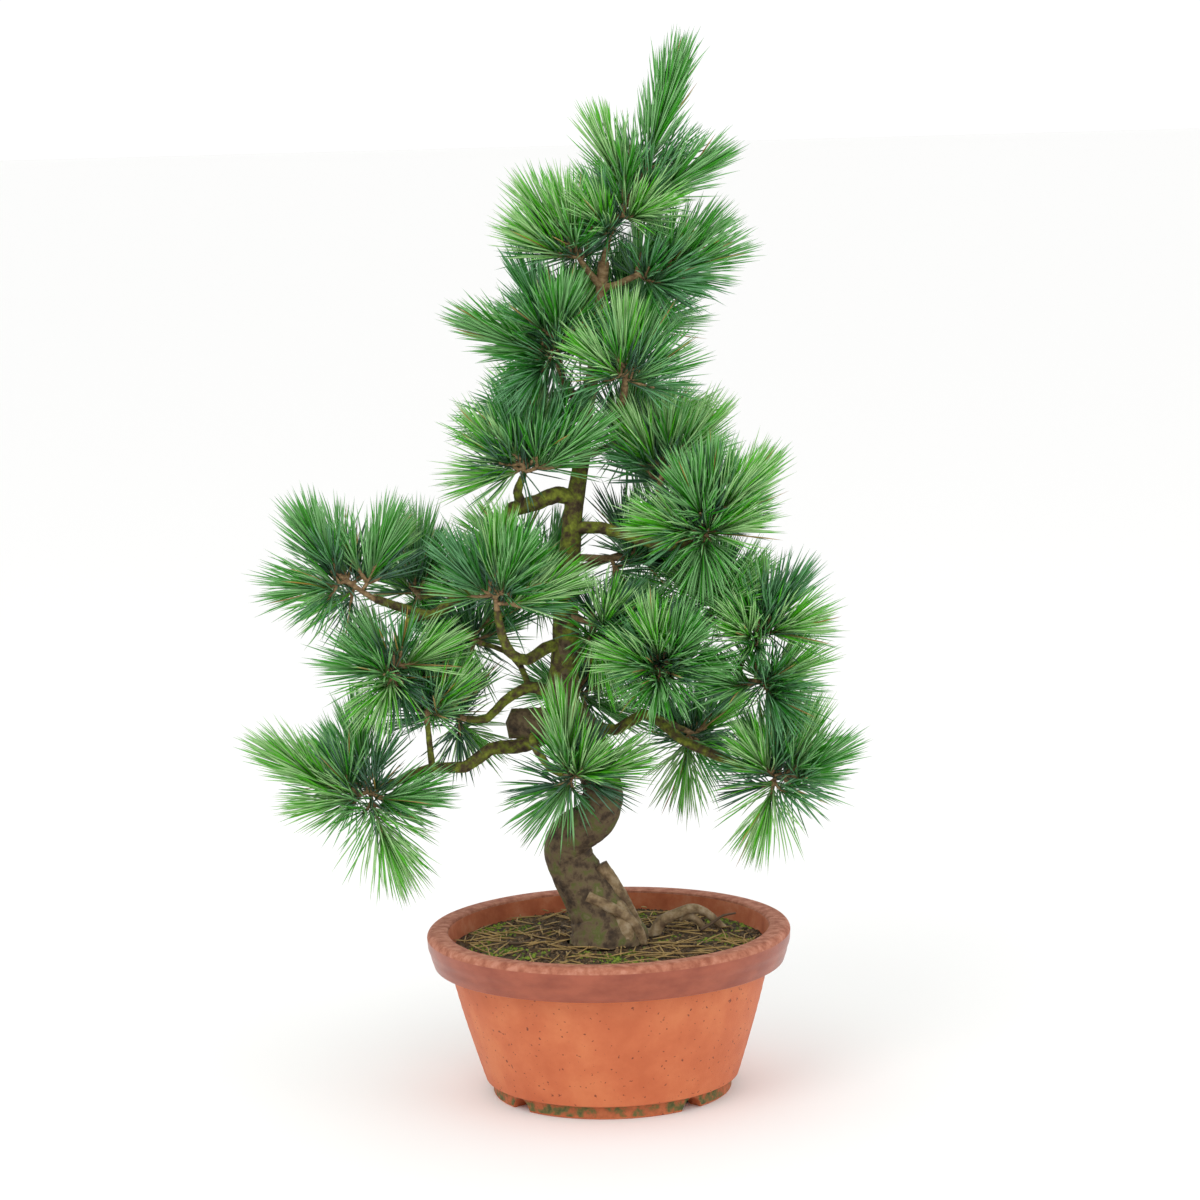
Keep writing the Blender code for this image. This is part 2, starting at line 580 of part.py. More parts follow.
def plan_mass(name, parent, share, legs, long_shoots, whorl_count, seed):
    """The stem and shoots of one mass: their courses and the needled part of each shoot."""
    rng = random.Random(seed)
    stem = limb_course(parent, share, legs, 2)
    aims = [(place, length, aim(turn, back)) for place, length, turn, back in long_shoots]
    aims.extend(whorl(stem, whorl_count, rng) if whorl_count else [])
    shoots = []
    for place, length, direction in aims:
        direction = np.array(direction)
        least = STEM_CLEAR if share == 1.0 else TRUNK_STEM_CLEAR
        if direction @ end_direction(stem) < 0.0:
            least = max(least, BACKWARD_CLEAR)
        start = point_at(stem, max(place, least))
        sag = np.array((0.0, 0.0, SHOOT_SAG * length))
        line = smooth([start, start + direction * length / 2 - sag, start + direction * length], 4)
        brush = min(max(BRUSH_LENGTH, length * PLUME_SHARE), length - 5.0)
        bare = 1.0 - brush / distances(line)[-1]
        bands = max(LEAST_BANDS, round(brush / BAND))
        shoots.append(np.array([point_at(line, q) for q in (0.0, *np.linspace(bare, 1.0, bands + 1))]))
    radius = STEM_RADIUS if share == 1.0 else TRUNK_STEM_RADIUS
    return {"name": name, "parent": parent, "share": share, "stem": stem, "shoots": shoots,
            "radius": radius, "rng": rng}


def segment_offsets(points, starts, ends):
    """For each point and each straight segment, the vector from the segment's nearest place to the point."""
    run = ends - starts
    square = np.maximum((run**2).sum(axis=1), 1e-9)
    offset = points[:, None, :] - starts[None, :, :]
    along = np.clip((offset * run[None, :, :]).sum(axis=2) / square, 0.0, 1.0)
    return offset - along[:, :, None] * run[None, :, :]


def segment_distances(points, starts, ends):
    """Distance from each point to each straight segment, as a table."""
    return np.linalg.norm(segment_offsets(points, starts, ends), axis=2)


def pushes(shoot, starts, ends, reach):
    """How short of its clear space each point of a shoot is, and the way out, against the nearest segment."""
    offsets = segment_offsets(shoot, starts, ends)
    away = np.linalg.norm(offsets, axis=2)
    short = reach[None, :] - away
    worst = short.argmax(axis=1)
    rows = np.arange(len(shoot))
    return short[rows, worst], offsets[rows, worst] / np.maximum(away[rows, worst], 1e-6)[:, None]


def spread(plans):
    """Moves shoots off the limbs and off other masses' shoots, and drops those that stay too close."""
    limbs = [(a, b, max(r, s)) for path, radii, _ in WOODS.values()
             for a, b, r, s in zip(path, path[1:], radii, radii[1:])]
    for turn in range(SPREAD_ROUNDS + 1):
        for plan in plans:
            rows = list(limbs)
            for other in plans:
                if other is not plan:
                    rows.extend((a, b, BRUSH_RADIUS) for s in other["shoots"] for a, b in zip(s, s[1:]))
                    rows.extend((a, b, other["radius"]) for a, b in zip(other["stem"], other["stem"][1:]))
            starts, ends, radii = (np.array(column) for column in zip(*rows))
            kept = []
            for shoot in plan["shoots"]:
                short, way = pushes(shoot, starts, ends, radii + BRUSH_RADIUS + ROOM)
                if turn == SPREAD_ROUNDS and short[1:].max() > ROOM:
                    continue
                for k in range(1, len(shoot)):
                    if turn < SPREAD_ROUNDS and short[k] > 0.0:
                        shoot[k:] += way[k] * short[k] * 0.6
                kept.append(shoot)
            plan["shoots"] = kept


def gather_space(plans):
    """All needled parts and all bare wood as segments, with what each belongs to."""
    brushes = []
    wood = []
    for path, radii, _ in WOODS.values():
        wood.extend((a, b, max(r, s), None) for a, b, r, s in zip(path, path[1:], radii, radii[1:]))
    for plan in plans:
        wood.extend((a, b, plan["radius"], None) for a, b in zip(plan["stem"], plan["stem"][1:]))
        for k, shoot in enumerate(plan["shoots"]):
            owner = (plan["name"], k)
            wood.append((shoot[0], shoot[1], SHOOT_RADIUS, owner))
            brushes.extend((a, b, owner) for a, b in zip(shoot[1:], shoot[2:]))
    return brushes, wood


class Space:
    """Answers whether a spray stays nearer to its own shoot than to any other, and clear of the wood."""

    def __init__(self, plans):
        brushes, wood = gather_space(plans)
        self.owners = [owner for _, _, owner in brushes]
        self.starts = np.array([a for a, _, _ in brushes])
        self.ends = np.array([b for _, b, _ in brushes])
        self.wood_starts = np.array([a for a, _, _, _ in wood])
        self.wood_ends = np.array([b for _, b, _, _ in wood])
        self.wood_radii = np.array([r for _, _, r, _ in wood])
        self.wood_owners = [owner for _, _, _, owner in wood]

    def free(self, foot, tip, owner):
        shares = np.array(SPRAY_SAMPLES)
        points = foot + (tip - foot) * shares[:, None]
        width = SPRAY_HALF_WIDTH * (1.0 - shares) + CLEAR
        own = np.array([o == owner for o in self.owners])
        away = segment_distances(points, self.starts, self.ends)
        nearest = away[:, own].min(axis=1)
        if (away[:, ~own].min(axis=1) - nearest < 2.0 * width).any():
            return False
        not_own = np.array([o != owner for o in self.wood_owners])
        wood = segment_distances(points, self.wood_starts[not_own], self.wood_ends[not_own])
        return bool(((wood - self.wood_radii[not_own]).min(axis=1) >= width).all())


def add_sprays(shoot, course, space, owner, rng):
    """Draws each face of the needled part out to a slender point, splayed most at its foot."""
    body = bmesh.new()
    body.from_mesh(shoot.data)
    ahead = end_direction(course)
    brush = course[1:]
    whole = distances(brush)[-1]
    chosen = []
    for face in body.faces:
        centre = np.array(face.calc_center_median()) / MM
        along = (centre - brush[0]) @ ahead
        if along > 0.5 and len(face.verts) == 4:
            chosen.append(face)
    cut = bmesh.ops.triangulate(body, faces=chosen)
    tip_face = max((f for f in body.faces if f not in cut["faces"]),
                   key=lambda f: np.array(f.calc_center_median()) @ ahead)
    for face in [*cut["faces"], tip_face]:
        centre = np.array(face.calc_center_median()) / MM
        gaps = segment_distances(centre[None, :], brush[:-1], brush[1:])[0]
        k = int(gaps.argmin())
        run = brush[k + 1] - brush[k]
        run_length = np.linalg.norm(run)
        share = np.clip((centre - brush[k]) @ run / run_length**2, 0.0, 1.0)
        foot = brush[k] + run * share
        along = (distances(brush)[k] + share * run_length) / whole
        out = centre - foot
        out = out - (out @ run) * run / run_length**2
        length = SPRAY_LENGTH * (1.0 + rng.uniform(-SPRAY_SPREAD, SPRAY_SPREAD))
        if face is tip_face:
            direction = ahead + np.array((0.0, 0.0, END_LIFT))
            length *= END_SPRAY
        else:
            splay = math.radians(SPLAY_FOOT + (SPLAY_TIP - SPLAY_FOOT) * along + rng.uniform(-4.0, 4.0))
            direction = run / run_length * math.cos(splay) + out / np.linalg.norm(out) * math.sin(splay)
            direction = direction + np.array((0.0, 0.0, SPRAY_LIFT)) * math.sin(splay)
        direction = direction / np.linalg.norm(direction)
        for part in SPRAY_TRIES:
            tip = centre + direction * length * part
            if space.free(centre, tip, owner):
                poked = bmesh.ops.poke(body, faces=[face])
                poked["verts"][0].co = Vector(tip) * MM
                break
    body.to_mesh(shoot.data)
    body.free()


def make_mass(plan, space):
    """A stem with its shoots and their sprays, joined by one union."""
    name = "foliage_" + plan["name"]
    stem = plan["stem"]
    radii = np.linspace(plan["radius"], STEM_END, len(stem))
    mass = tube(name, stem, radii, 5, PARTS)
    cut_clear(mass, plan["parent"], plan["share"])
    twigs = make_collection(name + "_shoots")
    for k, course in enumerate(plan["shoots"]):
        radii = [SHOOT_RADIUS, *np.linspace(BRUSH_RADIUS, SHOOT_TIP_RADIUS, len(course) - 1)]
        shoot = tube(f"{name}_{k}", course, radii, TWIG_SIDES, twigs)
        add_sprays(shoot, course, space, (plan["name"], k), plan["rng"])
    boolean(mass, "UNION", twigs, "MANIFOLD")
    apply_modifiers(mass)
    for twig in list(twigs.objects):
        bpy.data.objects.remove(twig, do_unlink=True)
    bpy.data.collections.remove(twigs)
    keep_main_body(mass)
    finish(mass, NEEDLES)


def centre_origin():
    """Moves the plant's empty so that the origin lies under the middle of the whole plant."""
    bpy.context.view_layer.update()
    graph = bpy.context.evaluated_depsgraph_get()
    corners = []
    for obj in PARTS.objects:
        solid = obj.evaluated_get(graph)
        corners.extend(solid.matrix_world @ Vector(corner) for corner in solid.bound_box)
    low = [min(corner[axis] for corner in corners) for axis in range(3)]
    high = [max(corner[axis] for corner in corners) for axis in range(3)]
    PLANT.location = (-(low[0] + high[0]) / 2, -(low[1] + high[1]) / 2, -low[2])


clear_scene()
PARTS = make_collection("potted_white_pine")
CUTTERS = make_collection("cutters")
PLANT = bpy.data.objects.new("plant", None)
bpy.context.scene.collection.objects.link(PLANT)
CLAY = make_material("terracotta", TERRACOTTA, 0.55)
SOIL = make_material("soil", EARTH, 0.95)
WOOD = make_material("bark", BARK, 0.9)
NEEDLES = make_material("needles", NEEDLE_GREEN, 0.5)
WOODS = {}

make_pot()
make_soil()
make_trunk()
for limb_name, row in LIMBS.items():
    make_limb(limb_name, *row)
PLANS = [plan_mass(key, *row, MASS_SEED + order) for order, (key, row) in enumerate(MASSES.items())]
spread(PLANS)
SPACE = Space(PLANS)
for mass_plan in PLANS:
    make_mass(mass_plan, SPACE)
centre_origin()
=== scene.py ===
"""A potted Japanese white pine: bark, roots, needles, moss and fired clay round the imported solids.

The tree is laid out in millimetres round the pot's axis, with the viewer on the -Y side, and the pieces are
then moved to the pot's place in the frame. Limbs and shoots follow the rules of the part's source, and the
shoots are carried on to finer twigs and single needles.

A direction is given as the viewer sees it: turn is 0 to the right, 90 up and 180 to the left, and back says
how many degrees it leans away from the viewer. A limb is a chain of legs of (length, turn, back).
"""

import math
import random

import bpy
import numpy as np
from mathutils import Matrix, Vector


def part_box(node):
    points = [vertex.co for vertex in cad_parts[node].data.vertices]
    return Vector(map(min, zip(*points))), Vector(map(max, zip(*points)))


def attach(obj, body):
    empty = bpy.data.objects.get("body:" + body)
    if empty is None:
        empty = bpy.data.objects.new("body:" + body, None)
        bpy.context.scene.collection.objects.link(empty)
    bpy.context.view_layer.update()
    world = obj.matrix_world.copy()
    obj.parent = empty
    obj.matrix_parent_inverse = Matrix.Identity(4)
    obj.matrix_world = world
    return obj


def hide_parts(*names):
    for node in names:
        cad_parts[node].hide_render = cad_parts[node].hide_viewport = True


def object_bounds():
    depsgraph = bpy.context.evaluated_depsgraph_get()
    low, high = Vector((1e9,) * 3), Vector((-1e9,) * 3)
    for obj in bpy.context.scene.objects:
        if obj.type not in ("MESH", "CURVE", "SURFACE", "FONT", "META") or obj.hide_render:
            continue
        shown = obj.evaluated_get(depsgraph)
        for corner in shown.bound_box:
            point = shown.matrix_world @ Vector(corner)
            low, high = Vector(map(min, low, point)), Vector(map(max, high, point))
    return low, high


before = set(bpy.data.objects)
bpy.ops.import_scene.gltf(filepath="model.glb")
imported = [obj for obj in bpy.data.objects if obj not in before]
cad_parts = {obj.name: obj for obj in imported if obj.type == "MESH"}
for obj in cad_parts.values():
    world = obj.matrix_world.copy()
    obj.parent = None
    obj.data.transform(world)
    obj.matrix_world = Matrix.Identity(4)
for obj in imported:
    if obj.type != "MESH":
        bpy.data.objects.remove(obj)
CAD_LOW, CAD_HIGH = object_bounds()

MM = 0.001
POT_LOW, POT_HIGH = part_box("pot")
AXIS = np.array(((POT_LOW.x + POT_HIGH.x) / 2, (POT_LOW.y + POT_HIGH.y) / 2, 0.0)) / MM
GAP = 0.3

# Pot, as turned
POT_HEIGHT = 118.7
RIM_RADIUS = 130.0
BAND_FOOT = 93.4
BAND_FOOT_RADIUS = 125.8
BODY_TOP_RADIUS = 114.2
BODY_FOOT_RADIUS = 90.6
FOOT_RING_HEIGHT = 9.4
FOOT_RING_RADIUS = 85.4
FOOT_RING_INNER = 72.0
WALL = 11.5
FLOOR_TOP = 17.0
DRAIN_RADIUS = 15.0
LIP_INNER_RADIUS = 114.6
NOTCH_RADIUS = 8.6
NOTCH_COUNT = 4
NOTCH_TURN = 40.5
POT_AROUND = 480
LIP_ROUND = 4.6
LIP_BAND = 9.5
RECESS = 3.4                    # the underside stands this far above the foot of the wall's groove
LIP, BAND_FACE, WALL_FACE, FOOT_FACE, INSIDE = range(5)

# Soil
GROUND = 107.5
SOIL_FLAT_RADIUS = 92.0
SOIL_EDGE = 104.6
SOIL_EDGE_RADIUS = 113.0
SOIL_WAVES = ((0.35, 0.11, 0.05, 0.4), (0.3, -0.06, 0.13, 1.9), (0.2, 0.25, -0.2, 0.2))
SOIL_AROUND = 240
SOIL_RINGS = 60
GRANULES = 5200
GRANULE_SIZE = (0.7, 1.9)
GRANULE_FIELD = 111.0
TRUNK_CLEARING = 27.0
FALLEN_NEEDLES = 260
FALLEN_LENGTH = (16.0, 34.0)
DEAD_TWIGS = (
    ((66.0, 14.0, 110.0), ((9, 25, 20), (10, 35, 5), (10, 10, 10))),
    ((-72.0, -8.0, 109.5), ((9, -5, 10), (12, 10, 30))),
)

# Trunk
LEAN = -1.5
TRUNK_FOOT = (-1.0, 0.0, 109.0)
TRUNK_LEGS = (
    (19, 105, 5), (21, 120, 5), (21, 120, 5), (14, 100, -5), (13, 55, -20), (17, 40, -15), (17, 70, -10),
    (15, 100, 5), (17, 115, 20), (18, 120, 15), (18, 120, 5), (18, 95, -5), (26, 85, -5), (36, 90, -5),
    (36, 85, 0), (32, 85, 0), (32, 80, 5), (32, 85, 5), (39, 80, -5), (39, 85, 0), (30, 85, 0),
)
TRUNK_TIP_RADIUS = 3.8
TRUNK_FOOT_RADIUS = 19.4
TRUNK_TAPER = 1.75
FLARE = 10.0
FLARE_HEIGHT = 16.0
KNEE_SWELL = 3.2
KNEE_HEIGHT = 148.0
KNEE_REACH = 17.0

# Bark: step along the wood, sides round it, width of a plate, and its fissures as a share of the radius
TRUNK_BARK = (1.1, 120, 11.0, 0.17)
ROOT_BARK = (1.2, 24, 7.0, 0.14)
STUB_BARK = (0.9, 60, 9.0, 0.34)
LIMB_BARK = (0.9, 22, 5.0, 0.2)
STEM_BARK = (1.6, 10, 4.0, 0.2)
TWIG_BARK = (1.8, 7, 3.0, 0.2)
DEAD_TWIG_BARK = (1.5, 8, 3.0, 0.2)
OLD_BARK, MOSSY_BARK, YOUNG_BARK, BARE_ROOT = range(4)
MOSS_FOOT = 300.0               # moss shows on the trunk from this height
YOUNG_FOOT = 470.0              # and tan young bark from this one
YOUNG_LIMBS = 480.0

# Surface roots: start, root and tip radius, legs
ROOTS = (
    ((-14.0, -14.0, 143.0), 4.2, 3.4, ((18, -25, -10), (13, -30, -5), (14, -50, 5), (16, -75, 10))),
    ((-4.5, -2.0, 163.0), 5.2, 5.6, ((18, -57, 0), (18, -62, 0), (24, -65, -5))),
    ((6.0, -8.0, 134.0), 6.5, 6.0, ((14, -60, -35), (22, -85, -10))),
    ((8.0, 8.0, 108.0), 5.0, 2.6, (
        (22, 0, 8), (13, 50, 10), (12, 25, 12), (13, 15, 20), (13, -25, 20), (18, -45, 15))),
    ((50.0, 20.0, 118.0), 2.8, 2.2, ((9, 5, 10), (9, -35, 5), (14, -55, 5))),
)

# Limbs: parent, share of the parent's length where it leaves, root radius, tip radius, legs
LIMBS = {
    "old_stub": ("trunk", 0.34, 14.5, 10.0, ((22, 175, 20), (27, 175, 5))),
    "low_left": ("old_stub", 0.34, 5.6, 2.6, (
        (16, -145, -5), (16, -165, -5), (19, 180, -25), (22, -145, -10), (23, 180, -5), (25, -160, -5),
        (15, -160, -5))),
    "low_left_rise": ("low_left", 0.71, 2.4, 1.9, ((18, 95, -15), (16, 95, -10))),
    "front_low": ("old_stub", 0.66, 3.4, 2.2, (
        (19, -90, -60), (16, -55, -50), (13, -45, -40), (11, -20, -30))),
    "left_second": ("trunk", 0.40, 4.6, 2.4, (
        (13, 175, 0), (12, 170, 0), (20, -150, -5), (17, -135, -10), (14, 180, 0))),
    "left_second_back": ("left_second", 0.32, 2.2, 1.7, ((20, 115, 45), (23, 145, 50), (22, 170, 45))),
    "left_mid": ("trunk", 0.47, 4.6, 2.6, (
        (17, -170, -30), (16, -150, -30), (15, 155, -35), (17, 115, -20), (18, 100, -10))),
    "left_shoulder": ("trunk", 0.67, 5.8, 5.2, ((13, 160, -10), (16, -160, -10), (15, -165, -5))),
    "left_arm": ("left_shoulder", 1.0, 5.0, 2.8, (
        (18, -115, 5), (21, -115, 10), (24, -125, 0), (21, -140, -10), (14, -150, -20), (18, 165, -10),
        (23, 160, -10))),
    "left_arm_drop": ("left_arm", 0.71, 3.2, 2.4, ((15, -170, -20), (15, -120, -20), (13, -105, -20))),
    "left_arm_back": ("left_arm", 0.54, 3.4, 2.4, ((20, 175, 50), (21, -160, 45))),
    "shoulder_up": ("left_shoulder", 0.88, 3.8, 2.5, ((14, 110, -35), (12, 70, -20))),
    "right_upper": ("trunk", 0.63, 4.4, 3.0, ((22, 5, -20), (28, -15, -25), (25, -10, -25), (16, 10, -10))),
    "right_rise": ("right_upper", 0.92, 3.0, 2.4, ((20, 110, 30), (23, 115, 30))),
    "right_mid": ("trunk", 0.46, 5.4, 2.8, (
        (40, -20, 30), (29, -10, -10), (22, 20, -30), (21, 50, -20), (24, 65, -15))),
    "right_mid_front": ("right_mid", 0.46, 3.0, 2.2, ((26, -5, -70), (30, 65, -70))),
    "right_out": ("right_mid", 0.70, 3.4, 2.4, ((21, -30, -35), (23, -10, -35), (16, 5, -20))),
    "right_out_rise": ("right_out", 0.83, 2.6, 2.0, ((16, 80, -15), (19, 55, -10))),
    "right_low": ("trunk", 0.39, 4.0, 3.0, (
        (36, -45, 35), (19, -20, 15), (25, 35, -20), (21, -25, -35), (18, -35, -30), (24, -20, -30),
        (24, -20, -20))),
    "right_low_side": ("right_low", 0.52, 2.8, 2.0, ((24, -35, 55), (21, -30, 45))),
    "upper_left": ("trunk", 0.81, 3.6, 2.4, ((10, 165, -5), (13, 130, -10), (16, 100, -10))),
    "upper_right": ("trunk", 0.75, 3.4, 2.4, ((23, 45, -25), (21, 50, -30), (15, 80, -25))),
}

# Masses: limb that carries the stem, share, stem's legs, long shoots (share of the stem, length, turn, back),
# and how many the whorl rule adds
MASSES = {
    "low_left": ("low_left", 1.0, ((11, -165, -20),), (
        (1.0, 55, 155, -15), (0.7, 29, -170, -35), (0.6, 40, -70, -15), (0.2, 30, -5, -25),
        (0.1, 37, 100, 25), (0.3, 41, 155, 45)), 0),
    "low_left_rise": ("low_left_rise", 1.0, ((8, 85, -15),), (
        (1.0, 17, 75, -10), (0.8, 23, 40, -30), (0.8, 19, 140, 40), (0.6, 24, 15, 70)), 0),
    "front_low": ("front_low", 1.0, ((7, 15, -30),), (
        (0.5, 37, 98, -20), (1.0, 26, 12, -20), (0.7, 24, 50, -60), (0.8, 20, -125, 10)), 0),
    "left_second": ("left_second", 1.0, ((8, 165, 30),), (
        (1.0, 22, 150, 40), (0.8, 28, 115, 55), (0.5, 25, -65, 45)), 0),
    "left_second_back": ("left_second_back", 1.0, ((10, 160, 35),), (
        (1.0, 23, 165, 35), (0.6, 27, -130, 45), (0.7, 19, 100, 5), (0.7, 27, 15, 60)), 0),
    "left_mid": ("left_mid", 1.0, ((11, 95, -20),), (
        (1.0, 24, 85, -15), (0.8, 28, 140, -25), (0.8, 36, 60, -40), (0.3, 38, 15, -20), (0.4, 31, 30, 35),
        (0.7, 27, 140, 60)), 0),
    "left_arm": ("left_arm", 1.0, ((25, 145, -10),), (
        (1.0, 32, 125, -15), (0.9, 29, -170, -30), (0.4, 35, 65, -10), (0.8, 29, 115, 40),
        (0.6, 27, -145, 40), (0.5, 34, 40, 35)), 0),
    "left_arm_drop": ("left_arm_drop", 1.0, ((7, -95, -15),), (
        (1.0, 22, 175, -30), (0.7, 26, 20, -25), (1.0, 24, -115, -50), (0.7, 25, 150, 50),
        (0.9, 20, -60, 30)), 0),
    "left_arm_back": ("left_arm_back", 1.0, ((8, 140, 45),), (
        (1.0, 25, 85, 10), (0.8, 27, 35, 40), (0.9, 26, 150, 45), (0.9, 33, -65, 70)), 0),
    "shoulder_up": ("shoulder_up", 1.0, ((8, 95, -15),), (
        (1.0, 24, 105, -10), (0.9, 24, 150, -20), (0.2, 45, 30, -25), (0.6, 38, 50, -5), (0.4, 32, 75, 45),
        (0.2, 18, -160, -5)), 0),
    "right_upper": ("right_upper", 1.0, ((20, 60, -10),), (
        (1.0, 24, 85, -15), (0.9, 29, 120, -40), (0.9, 27, 45, -25), (0.1, 34, 180, -35), (0.1, 26, -95, -40),
        (0.6, 44, 40, 20), (0.5, 22, 10, -35)), 0),
    "right_rise": ("right_rise", 1.0, ((15, 75, 10),), (
        (1.0, 23, 85, -5), (0.9, 27, 125, -20), (0.9, 30, 45, -5), (0.5, 25, 155, 50), (0.6, 30, 25, 50)), 0),
    "right_mid": ("right_mid", 1.0, ((9, 75, -10),), (
        (1.0, 18, 85, -20), (0.7, 22, 140, 40), (0.7, 28, 30, 40), (0.6, 27, 30, -65)), 0),
    "right_mid_front": ("right_mid_front", 1.0, ((15, 110, -70),), (
        (1.0, 29, 105, -45), (1.0, 24, 170, -40), (1.0, 31, 50, -50), (1.0, 24, -105, -60),
        (0.7, 21, 0, -35)), 0),
    "right_out": ("right_out", 1.0, ((9, 10, -15),), (
        (1.0, 16, 25, -20), (0.4, 40, 175, -40), (0.7, 22, -55, -50), (0.8, 26, -35, 55)), 0),
    "right_out_rise": ("right_out_rise", 1.0, ((11, 65, -10),), (
        (1.0, 19, 55, -5), (0.8, 22, 150, -40), (0.6, 24, 15, -40), (0.8, 23, 100, 50),
        (0.2, 34, 160, -65)), 0),
    "right_low": ("right_low", 1.0, ((28, -10, -15),), (
        (1.0, 27, 65, -15), (1.0, 28, 25, -25), (0.9, 26, 85, 30), (0.2, 24, 130, -45), (0.8, 26, -105, -20),
        (0.9, 28, -20, 50), (0.5, 25, 120, 55)), 0),
    "right_low_side": ("right_low_side", 1.0, ((11, -35, 45),), (
        (1.0, 24, 30, 30), (0.7, 31, -55, 60), (0.5, 27, -95, 15), (0.9, 28, 150, 55)), 0),
    "upper_left": ("upper_left", 1.0, ((13, 95, -15),), (
        (1.0, 33, 120, -10), (0.4, 45, 165, -15), (0.6, 28, 60, 30), (0.3, 35, -125, -45), (0.8, 33, 85, -50),
        (0.4, 31, 180, 40)), 0),
    "upper_right": ("upper_right", 1.0, ((7, 85, -15),), (
        (1.0, 23, 95, -15), (0.8, 26, 150, -40), (0.8, 22, 55, 10), (0.3, 19, 15, -10),
        (0.5, 26, 120, 45)), 0),
    "top_left": ("trunk", 0.965, ((13, 130, -15), (18, 125, -15)), (
        (1.0, 31, 130, -5), (0.9, 30, 105, -30), (0.9, 31, 160, -30), (0.8, 23, 65, 30),
        (0.9, 25, 165, 50)), 0),
    "top_right": ("trunk", 0.965, ((10, 10, -10), (19, 25, -15), (11, 10, -5)), (
        (1.0, 33, 10, -10), (0.9, 35, 30, 10), (0.7, 28, -15, -45), (0.6, 24, 55, 50)), 0),
    "leader": ("trunk", 1.0, ((19, 75, 0), (26, 60, 0)), (
        (1.0, 83, 70, 0), (1.0, 34, 115, -10), (0.9, 49, 25, -10), (0.7, 30, 15, -55), (0.6, 24, 125, 55),
        (0.9, 27, 35, 60), (0.5, 23, 145, -60)), 0),
    "back_low": ("trunk", 0.40, ((37, -45, 75), (33, 5, 75)), (), 4),
    "back_low_right": ("trunk", 0.47, ((54, -5, 55), (45, -10, 50)), (), 4),
    "back_mid_right": ("trunk", 0.57, ((54, 10, 50), (45, 10, 50)), (), 4),
    "back_mid_left": ("trunk", 0.54, ((41, 165, 65), (34, 145, 55)), (), 4),
    "back_high_right": ("trunk", 0.73, ((35, 15, 55), (33, 20, 50)), (), 5),
    "back_high_left": ("trunk", 0.76, ((29, 170, 55), (26, 155, 50)), (), 4),
    "back_upper_left": ("trunk", 0.86, ((23, 135, 60), (20, 130, 45)), (), 4),
    "back_upper_right": ("trunk", 0.90, ((22, 15, 55), (19, 35, 50)), (), 4),
    "mid_right": ("trunk", 0.59, ((31, -5, 30), (20, -5, 20)), (), 4),
    "front_mid": ("trunk", 0.515, ((25, -20, -45), (17, -10, -45)), (), 4),
}
MASS_SEED = 31
STEM_RADIUS = 2.0
STEM_END = 1.5
TRUNK_STEM_RADIUS = 2.6
STEM_CLEAR = 0.4
TRUNK_STEM_CLEAR = 0.5
BACKWARD_CLEAR = 0.75
WHORL_SPLAY = 52.0
WHORL_REACH = (22.0, 30.0)
LEADING_REACH = 24.0
BRUSH_RADIUS = 2.8
SHOOT_SAG = 0.07
ROOM = 1.2
SPREAD_ROUNDS = 12
SPREAD_EASE = 0.6               # share of a shortfall made good in one round
BAND = 12.0
LEAST_BANDS = 3
BRUSH_LENGTH = 21.0
PLUME_SHARE = 0.72

# Which masses are joined into one piece of needles
REGIONS = {
    "needles_low_left": ("low_left", "low_left_rise", "front_low", "left_second", "left_second_back"),
    "needles_left_arm": ("left_arm", "left_arm_drop", "left_arm_back", "left_mid", "back_mid_left"),
    "needles_shoulder": ("shoulder_up", "back_high_left", "mid_right", "front_mid", "back_low"),
    "needles_right_upper": ("right_upper", "right_rise", "back_mid_right", "back_high_right"),
    "needles_right_mid": ("right_mid", "right_mid_front", "right_out", "right_out_rise"),
    "needles_right_low": ("right_low", "right_low_side", "back_low_right"),
    "needles_upper": ("upper_left", "upper_right", "back_upper_left", "back_upper_right"),
    "needles_top": ("top_left", "top_right", "leader"),
}
INNER_MASSES = ("back_low", "back_mid_left", "mid_right", "back_high_left", "back_upper_left")

# Needles
NEEDLE_SEED = 7
NEEDLE_LENGTH = (43.0, 54.0)
SIDE_NEEDLE_LENGTH = (36.0, 46.0)
NEEDLE_WIDTH = 1.05
NEEDLE_SPACING = 0.23           # length of shoot for each needle
SIDE_TWIGS = 2
SIDE_TWIG_LENGTH = (13.0, 19.0)
SIDE_NEEDLES = 27
SIDE_SPLAY = 48.0
OLD_NEEDLES = 12
NEEDLE_SPLAY = (47.0, 9.0)      # at the foot and at the tip of the needled part
SIDE_NEEDLE_SPLAY = (54.0, 14.0)
OLD_NEEDLE_SPLAY = (84.0, 60.0)
LIGHT_LIFT = 0.65               # how far needles turn up to the light
NEEDLE_STATIONS = np.array((0.0, 0.4, 0.75, 1.0))
NEEDLE_TAPER = np.array((0.75, 1.0, 0.85, 0.0))
TWIG_RADIUS = 1.5
TWIG_END = 0.9
INNER_THINNING = 1.25           # hidden shoots carry fewer needles
BOX_MARGIN = 3.0                # needles may pass the solids' box by this much
FRESH, GREEN, DEEP, OLD, STRAW = range(5)
OUTER_TONES = (5, 4, 1)         # how often a shoot is fresh, green or deep
INNER_TONES = (1, 4, 4)
SIDE_TONES = (3, 4, 2)          # how often a side twig is green, deep or old
STRAW_SHARE = 0.012
ASIDE = (0.31, 0.22, 0.93)      # a direction that no shoot runs along

